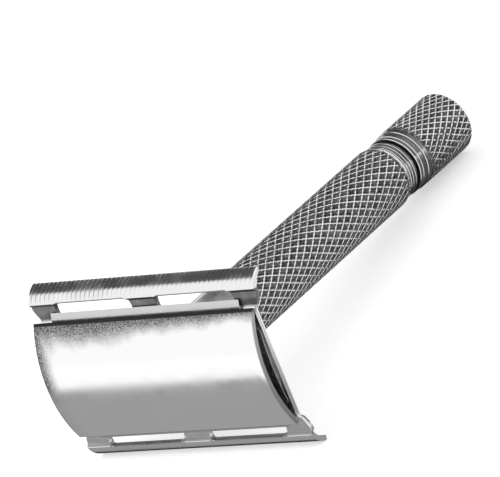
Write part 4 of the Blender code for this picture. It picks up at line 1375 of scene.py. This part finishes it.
@dataclass
class Handle:
    """The knurled barrel with its smooth collar and its grooved neck."""

    radius: float = 5.3 * MM
    bore: float = 4.35 * MM
    bottom: float = 18.25 * MM
    top: float = 62.25 * MM
    taper: float = 0.95 * MM
    taper_cuts: int = 6
    top_chamfer: float = 0.35 * MM
    top_cuts: int = 3
    starts: int = 24
    pitch: float = 2.355 * MM
    spigot_radius: float = 4.15 * MM
    collar_bore: float = 3.5 * MM
    collar_foot: float = 62.45 * MM
    collar_top: float = 78.65 * MM
    collar_edge: float = 0.3 * MM
    collar_spigot_foot: float = 54.95 * MM
    plate_spigot_radius: float = 4.3 * MM
    plate_spigot_top: float = 80.45 * MM
    rod_bore: float = 2.05 * MM
    neck_radius: float = 4.93 * MM
    neck_foot: float = 16.15 * MM
    neck_top: float = 18.05 * MM
    neck_spigot_top: float = 25.55 * MM
    neck_grooves: tuple[float, float] = (17.46 * MM, 16.74 * MM)
    plain_steps: int = 128
    collar_round: float = 0.06 * MM
    neck_round: float = 0.03 * MM
    knurl_finish: MetalFinish = KnurlFinish("barrel_chrome")
    plain_finish: MetalFinish = TurnedFinish("collar_chrome", (0.76, 0.76, 0.77), roughness=0.15)
    neck_finish: MetalFinish = TurnedFinish("neck_chrome", (0.76, 0.76, 0.77), clean_radius=4.90,
                                            stain_and_shade_colour=(0.04, 0.04, 0.042), roughness=0.12)

    def build(self) -> list[Thing]:
        """Build the handle's fixed pieces."""
        return [self._barrel(), self._collar(), self._bush()]

    def _barrel(self) -> Thing:
        """Build the knurled tube, tapered towards the knob.

        Returns:
            The finished barrel.
        """
        barrel = KnurledSleeve("handle_barrel_dressed", self.radius, self.bottom, self.top, self.starts,
                               self.pitch)
        barrel.chamfer((self.neck_radius, self.bottom), (self.radius, self.bottom + self.taper),
                       self.taper_cuts)
        barrel.chamfer((self.radius, self.top - self.top_chamfer),
                       (self.radius - self.top_chamfer, self.top), self.top_cuts)
        upper = barrel.carry(barrel.rim(self.top), [(self.bore, self.top)])
        lower = barrel.carry(barrel.rim(self.bottom), [(self.bore, self.bottom)])
        barrel.join_rims(upper, lower)
        return barrel.lay_down(self.knurl_finish.make(), Body.HANDLE, Slot.KNURLED_CHROME,
                               "handle_barrel", KNURL_SHARP)

    def _collar(self) -> Thing:
        """Build the smooth collar, with a spigot into the barrel and one through the plate.

        Returns:
            The finished collar.
        """
        foot, top, edge = self.collar_foot, self.collar_top, self.collar_edge
        profile = [(self.collar_bore, self.plate_spigot_top),
                   (self.plate_spigot_radius, self.plate_spigot_top),
                   (self.plate_spigot_radius, top), (self.radius - edge, top), (self.radius, top - edge),
                   (self.radius, foot + FINE_EDGE), (self.radius - FINE_EDGE, foot),
                   (self.spigot_radius, foot), (self.spigot_radius, self.collar_spigot_foot),
                   (self.collar_bore, self.collar_spigot_foot)]
        collar = Workpiece("head_collar_dressed").turn(profile, self.plain_steps)
        collar.round_edges(self.collar_round)
        return collar.lay_down(self.plain_finish.make(), Body.HANDLE, Slot.PLAIN_CHROME, "head_collar",
                               TURNED_SHARP)

    def _bush(self) -> Thing:
        """Build the neck with its two fine grooves, and its spigot in the barrel.

        Returns:
            The finished neck.
        """
        radius, foot, top = self.neck_radius, self.neck_foot, self.neck_top
        profile = [(self.rod_bore, self.neck_spigot_top), (self.spigot_radius, self.neck_spigot_top),
                   (self.spigot_radius, top), (radius - FINE_EDGE, top), (radius, top - FINE_EDGE)]
        for level in self.neck_grooves:
            profile += groove(radius, level)
        profile += [(radius, foot + FINE_EDGE), (radius - FINE_EDGE, foot), (self.rod_bore, foot)]
        bush = Workpiece("tail_bush_dressed").turn(profile, self.plain_steps).round_edges(self.neck_round)
        return bush.lay_down(self.neck_finish.make(), Body.HANDLE, Slot.PLAIN_CHROME, "tail_bush",
                             TURNED_SHARP)


@dataclass
class TwistKnob:
    """The knurled knob with its two turned rings, and the slotted screw in its end."""

    radius: float = 5.3 * MM
    knurl_top: float = 12.15 * MM
    knurl_end_drop: float = 0.2 * MM
    drop_cuts: int = 2
    chamfer: float = 0.5 * MM
    chamfer_cuts: int = 4
    starts: int = 28
    pitch: float = 2.0 * MM
    ring_radius: float = 5.25 * MM
    ring_gap_width: float = 0.36 * MM
    ring_gap_depth: float = 0.2 * MM
    ring_top: float = 13.45 * MM
    lip_radius: float = 5.09 * MM
    lip_step: float = 0.03 * MM
    lip_groove: float = 14.70 * MM
    rod_bore: float = 2.05 * MM
    well_radius: float = 2.5 * MM
    well_depth: float = 1.6 * MM
    web_top: float = 2.8 * MM
    screw_hole: float = 1.25 * MM
    screw_radius: float = 1.05 * MM
    screw_head_radius: float = 2.3 * MM
    screw_foot: float = 0.3 * MM
    screw_head_top: float = 1.4 * MM
    screw_top: float = 6.6 * MM
    screw_tip: float = 0.3 * MM
    screw_steps: int = 64
    screw_slot_size: tuple[float, float, float] = (8 * MM, 0.6 * MM, 1.1 * MM)
    knurl_finish: MetalFinish = KnurlFinish("knob_chrome", foot=(0.0, 4.8), taper=0.5,
                                            drops=((12.15, 0.09), (13.47, 0.16)))
    screw_finish: MetalFinish = TurnedFinish("screw_steel", (0.50, 0.50, 0.51), roughness=0.3)

    def build(self) -> list[Thing]:
        """Build the knob and its screw."""
        return [self._knob(), self._screw()]

    def _knob(self) -> Thing:
        """Build the knob: roll its knurl, then carry its rims round into the rings and the bore.

        Returns:
            The finished knob.
        """
        knob = KnurledSleeve("knob_dressed", self.radius, 0.0, self.knurl_top, self.starts, self.pitch)
        knob.chamfer((self.radius - self.chamfer, 0.0), (self.radius, self.chamfer), self.chamfer_cuts)
        knob.chamfer((self.radius, self.knurl_top - self.knurl_end_drop),
                     (self.radius - FINE_EDGE, self.knurl_top), self.drop_cuts)
        ring, lip, ring_top = self.ring_radius, self.lip_radius, self.ring_top
        upper = [(ring - self.ring_gap_depth, self.knurl_top + self.ring_gap_width / 2),
                 (ring, self.knurl_top + self.ring_gap_width),
                 (ring, ring_top - FINE_EDGE), (ring - FINE_EDGE, ring_top),
                 (lip - FINE_EDGE, ring_top + self.lip_step), (lip, ring_top + FINE_EDGE)]
        upper += reversed(groove(lip, self.lip_groove))
        upper += [(lip, KNOB_LENGTH - FINE_EDGE), (lip - FINE_EDGE, KNOB_LENGTH),
                  (self.rod_bore, KNOB_LENGTH), (self.rod_bore, self.web_top),
                  (self.screw_hole, self.web_top)]
        lower = [(self.well_radius + FINE_EDGE, 0.0), (self.well_radius, FINE_EDGE),
                 (self.well_radius, self.well_depth), (self.screw_hole, self.well_depth)]
        first = knob.carry(knob.rim(self.knurl_top), upper)
        second = knob.carry(knob.rim(0.0), lower)
        knob.join_rims(first, second)
        return knob.lay_down(self.knurl_finish.make(), Body.KNOB, Slot.KNURLED_CHROME, "knob", KNURL_SHARP)

    def _screw(self) -> Thing:
        """Build the screw, with its slot cut across the head.

        Returns:
            The finished screw.
        """
        radius, head, top = self.screw_radius, self.screw_head_radius, self.screw_top
        profile = [(0.0, top), (radius - self.screw_tip, top), (radius, top - self.screw_tip),
                   (radius, self.screw_head_top), (head, self.screw_head_top), (head, self.screw_foot),
                   (0.0, self.screw_foot)]
        screw = Workpiece("knob_screw_dressed").turn(profile, self.screw_steps).round_edges(FINE_EDGE)
        screw.pierce(Workpiece("screw_slot").block(self.screw_slot_size).move(up=self.screw_foot))
        return screw.lay_down(self.screw_finish.make(), Body.KNOB, Slot.PLAIN_STEEL, "knob_screw")


@dataclass
class DrawTrain:
    """What the knob draws the cap with, inside the handle."""

    steel: MetalFinish = TurnedFinish("rod_steel", (0.42, 0.42, 0.43), roughness=0.32)
    spring: MetalFinish = TurnedFinish("blued_steel", (0.30, 0.32, 0.36), roughness=0.34)
    brass: MetalFinish = TurnedFinish("turned_brass", (0.74, 0.56, 0.28), stain_and_shade_colour=(0.18, 0.12, 0.06),
                                      roughness=0.26)
    washer: MetalFinish = TurnedFinish("stained_brass", (0.20, 0.17, 0.13), roughness=0.4)
    chrome: MetalFinish = TurnedFinish("thread_chrome", (0.70, 0.70, 0.71), roughness=0.22)

    def build(self) -> list[Thing]:
        """Dress the solids that keep their own shape.

        Returns:
            The dressed solids.
        """
        dressed = []
        for finish, names in ((self.steel, ("draw_rod", "socket_pin")), (self.chrome, ("cap_stud",)),
                              (self.spring, ("disc_spring", "retaining_clip")),
                              (self.brass, ("draw_socket",)), (self.washer, ("thrust_washer",))):
            material = finish.make()
            for name in names:
                node = frame["nodes"][name]
                node.data.materials.clear()
                node.data.materials.append(material)
                dressed.append(node)
        return dressed


# The studio


@dataclass(frozen=True)
class Card:
    """A card that only mirrors show, with soft edges.

    Args:
        name: the card's name.
        tone: how bright it is.
        size: its width and height.
        spot: where its middle is.
        soft: how wide its edges fade, across and along.
        tilt: its turn about X, in degrees.
        turn: its turn about Z, in degrees.
    """

    name: str
    tone: float
    size: tuple[float, float]
    spot: tuple[float, float, float]
    soft: tuple[float, float]
    tilt: float = 0.0
    turn: float = 0.0

    @property
    def placement(self) -> Matrix:
        """Where the card stands."""
        turned = Matrix.Rotation(math.radians(self.turn), 4, "Z") @ Matrix.Rotation(
            math.radians(self.tilt), 4, "X")
        return Matrix.Translation(self.spot) @ turned


@dataclass(frozen=True)
class Lamp:
    """A soft square lamp that shines at the razor.

    Args:
        name: the lamp's name.
        spot: where it hangs.
        size: its side.
        power: its power, in watts.
    """

    name: str
    spot: tuple[float, float, float]
    size: float
    power: float


@dataclass
class Studio:
    """The floor, the lamps, the cards that the chrome mirrors, and the camera."""

    lens: float = 493.7
    distance: float = 1.0547
    azimuth: float = math.radians(44.885)
    elevation: float = math.radians(24.61)
    roll: float = math.radians(27.2)
    target: tuple[float, float, float] = (-0.0056, -0.0040, 0.0155)
    fill: float = 0.72
    floor_size: tuple[float, float] = (4.0, 4.0)
    floor_drop: float = 0.02 * MM
    floor_colours: tuple[Colour, Colour] = ((0.76, 0.76, 0.76), (0.80, 0.80, 0.80))
    floor_lift: float = 0.46
    mirrored_lift: float = 0.20
    lamps: tuple[Lamp, ...] = (Lamp("key", (-0.75, -0.65, 0.95), 1.1, 7.0),
                               Lamp("side", (1.0, -0.2, 0.9), 0.9, 3.0))
    arch_tone: float = 0.05
    arch_radii: tuple[float, float] = (0.58, 0.965)
    arch_centre: tuple[float, float, float] = (0.0, 0.9, -0.11)
    arch_steps: int = 48
    # The first six cards lie just over the floor, where only mirrors see them. All but the long thin strip
    # are painted shade of the floor near the razor: grey in front of the head and at the plate's end, and
    # nearly black under the handle and along the lower guard's lip, where they stand for its contact shadow.
    cards: tuple[Card, ...] = (
        Card("floor_card", 0.33, (0.18, 0.215), (-0.08, 0.0145, 0.05 * MM), (0.012, 0.026)),
        Card("front_card", 0.33, (0.16, 0.088), (0.05, -0.049, 0.10 * MM), (0.02, 0.026)),
        Card("plate_end_card", 0.33, (0.066, 0.008), (0.0528, -0.007, 0.15 * MM), (0.003, 0.001), turn=47.6),
        Card("under_card", 0.05, (0.014, 0.10), (0.0, 0.015, 0.20 * MM), (0.0015, 0.01)),
        Card("ring_card", 0.08, (0.49, 0.0077), (0.1765, 0.1992, 0.25 * MM), (0.004, 0.001), turn=45.0),
        Card("lip_card", 0.03, (0.046, 0.0018), (-0.0008, -0.0378, 0.30 * MM), (0.001, 0.0004)),
        Card("low_card", 0.05, (0.56, 0.34), (0.38, 0.89, 0.14), (0.08, 0.08), tilt=90.0),
        Card("top_card", 0.06, (1.35, 1.52), (-1.0, 0.385, 1.0), (0.1, 0.08)))

    def build(self) -> None:
        """Set up everything around the razor."""
        self._world()
        self._floor()
        for lamp in self.lamps:
            self._lamp(lamp)
        for card in self.cards:
            self._card(card)
        self._arch()
        self._camera()

    @staticmethod
    def _seen(sheet: NodeSheet) -> Socket:
        """1 for rays from the camera, a mirror or glass, and 0 for light that falls on things."""
        path = sheet.add("LightPath").outputs
        return sheet.largest(*(path[name] for name in SEEN_RAYS))

    def _world(self) -> None:
        """A white surround with a plain fill."""
        world = bpy.data.worlds.new("studio")
        bpy.context.scene.world = world
        sheet = NodeSheet.bare(world)
        strength = sheet.spread(self._seen(sheet), 0.0, 1.0, self.fill, 1.0)
        back = sheet.add("Background", {"Color": WHITE, "Strength": strength})
        sheet.add("OutputWorld", {"Surface": back.outputs[0]})

    def _stage(self, name: str, shape: bmesh.types.BMesh, only_mirrored: bool = True) -> NodeSheet:
        """Set up a stage piece.

        Args:
            name: the piece's name.
            shape: its shape, which is used up.
            only_mirrored: whether only mirror and glass rays meet it.

        Returns:
            The empty sheet of its material.
        """
        mesh = bpy.data.meshes.new(name)
        shape.to_mesh(mesh)
        shape.free()
        piece = put_in_scene(name, mesh)
        for ray in ("camera", "diffuse", "shadow", "volume_scatter"):
            setattr(piece, "visible_" + ray, not only_mirrored)
        material = bpy.data.materials.new(name)
        mesh.materials.append(material)
        return NodeSheet.bare(material)

    @staticmethod
    def _flat(size: Sequence[float], placement: Matrix) -> bmesh.types.BMesh:
        """Make a flat rectangle.

        Args:
            size: its width and height.
            placement: where it stands.

        Returns:
            Its shape.
        """
        shape = bmesh.new()
        bmesh.ops.create_grid(shape, x_segments=1, y_segments=1, size=0.5)
        bmesh.ops.scale(shape, vec=(*size, 1), verts=shape.verts)
        shape.transform(placement)
        return shape

    def _floor(self) -> None:
        """A pale floor that stays white for the camera and keeps the razor's shadow."""
        flat = self._flat(self.floor_size, Matrix.Translation((0, 0, -self.floor_drop)))
        sheet = self._stage("floor", flat, only_mirrored=False)
        grain = sheet.noise(sheet.add("TexCoord").outputs["Object"], 40.0)
        colour = sheet.mix_colours(sheet.spread(grain, 0.3, 0.7, 0.985, 1.0), *self.floor_colours)
        matt = sheet.add("BsdfDiffuse", {"Color": colour}).outputs[0]
        direct = sheet.spread(sheet.add("LightPath").outputs["Is Camera Ray"], 0.0, 1.0,
                              self.mirrored_lift, self.floor_lift)
        lift = sheet.glow(sheet.product(self._seen(sheet), direct))
        both = sheet.add("AddShader", {0: matt, 1: lift})
        sheet.add("OutputMaterial", {"Surface": both.outputs[0]})

    @staticmethod
    def _lamp(lamp: Lamp) -> None:
        """Hang a lamp that no mirror shows.

        Args:
            lamp: its place, size and power.
        """
        light = bpy.data.lights.new(lamp.name, "AREA")
        light.shape, light.size, light.energy = "SQUARE", lamp.size, lamp.power
        holder = put_in_scene(lamp.name, light)
        holder.location = lamp.spot
        holder.rotation_euler = (-Vector(lamp.spot)).to_track_quat("-Z", "Y").to_euler()
        holder.visible_glossy = False

    def _card(self, card: Card) -> None:
        """Set up a card.

        Args:
            card: its tone, size and place.
        """
        sheet = self._stage(card.name, self._flat(card.size, card.placement))
        spot = sheet.add("Mapping", {"Vector": sheet.add("TexCoord").outputs["Object"],
                                     "Location": card.placement.to_translation(),
                                     "Rotation": card.placement.to_euler(),
                                     "Scale": (card.size[0] / 2, card.size[1] / 2, 1.0)},
                         vector_type="TEXTURE")
        axes = sheet.add("SeparateXYZ", {0: spot.outputs[0]}).outputs
        fades = [sheet.spread(sheet.math("ABSOLUTE", axes[axis]), 1.0 - 2 * card.soft[axis] / card.size[axis],
                              1.0, 1.0, 0.0) for axis in (0, 1)]
        mixed = sheet.add("MixShader", {0: sheet.product(*fades), 1: sheet.add("BsdfTransparent").outputs[0],
                                        2: sheet.glow(card.tone)})
        sheet.add("OutputMaterial", {"Surface": mixed.outputs[0]})

    def _arch(self) -> None:
        """Set up an upright arch, which plain round pieces of the handle mirror."""
        shape = bmesh.new()
        x, y, z = self.arch_centre
        foot = [shape.verts.new((x + radius, y, z)) for radius in self.arch_radii]
        bmesh.ops.spin(shape, geom=[*foot, shape.edges.new(foot)], cent=self.arch_centre, axis=(0, -1, 0),
                       dvec=(0, 0, 0), angle=math.pi, steps=self.arch_steps)
        sheet = self._stage("back_arch", shape)
        sheet.add("OutputMaterial", {"Surface": sheet.glow(self.arch_tone)})

    def _camera(self) -> None:
        """The camera at the photograph's angle."""
        camera = bpy.data.cameras.new("camera")
        camera.lens, camera.sensor_width = self.lens, 36.0
        camera.clip_start, camera.clip_end = 0.01, 20.0
        holder = put_in_scene("camera", camera)
        level = math.cos(self.elevation)
        back = Vector((math.sin(self.azimuth) * level, -math.cos(self.azimuth) * level,
                       math.sin(self.elevation)))
        right = Vector((math.cos(self.azimuth), math.sin(self.azimuth), 0.0))
        upright = Matrix((right, back.cross(right), back)).transposed().to_4x4()
        holder.matrix_world = (Matrix.Translation(Vector(self.target) + back * self.distance) @ upright
                               @ Matrix.Rotation(-self.roll, 4, "Z"))
        bpy.context.scene.camera = holder


def clear_start_scene() -> None:
    """Remove what Blender starts with."""
    kept = {*frame["nodes"].values(), *frame["bodies"].values()}
    for item in [item for item in bpy.data.objects if item not in kept]:
        bpy.data.objects.remove(item, do_unlink=True)


def main() -> None:
    """Build the razor's sub-assemblies, then the studio around them."""
    logging.basicConfig(level=logging.INFO)
    clear_start_scene()
    for assembly in (HeadCap(), RazorBlade(), GuardPlate(), Handle(), TwistKnob(), DrawTrain()):
        for piece in assembly.build():
            LOG.info("%s built %s", type(assembly).__name__, piece.name)
    Studio().build()
    bpy.context.scene.view_settings.view_transform = "Standard"


if __name__ == "__main__":
    main()
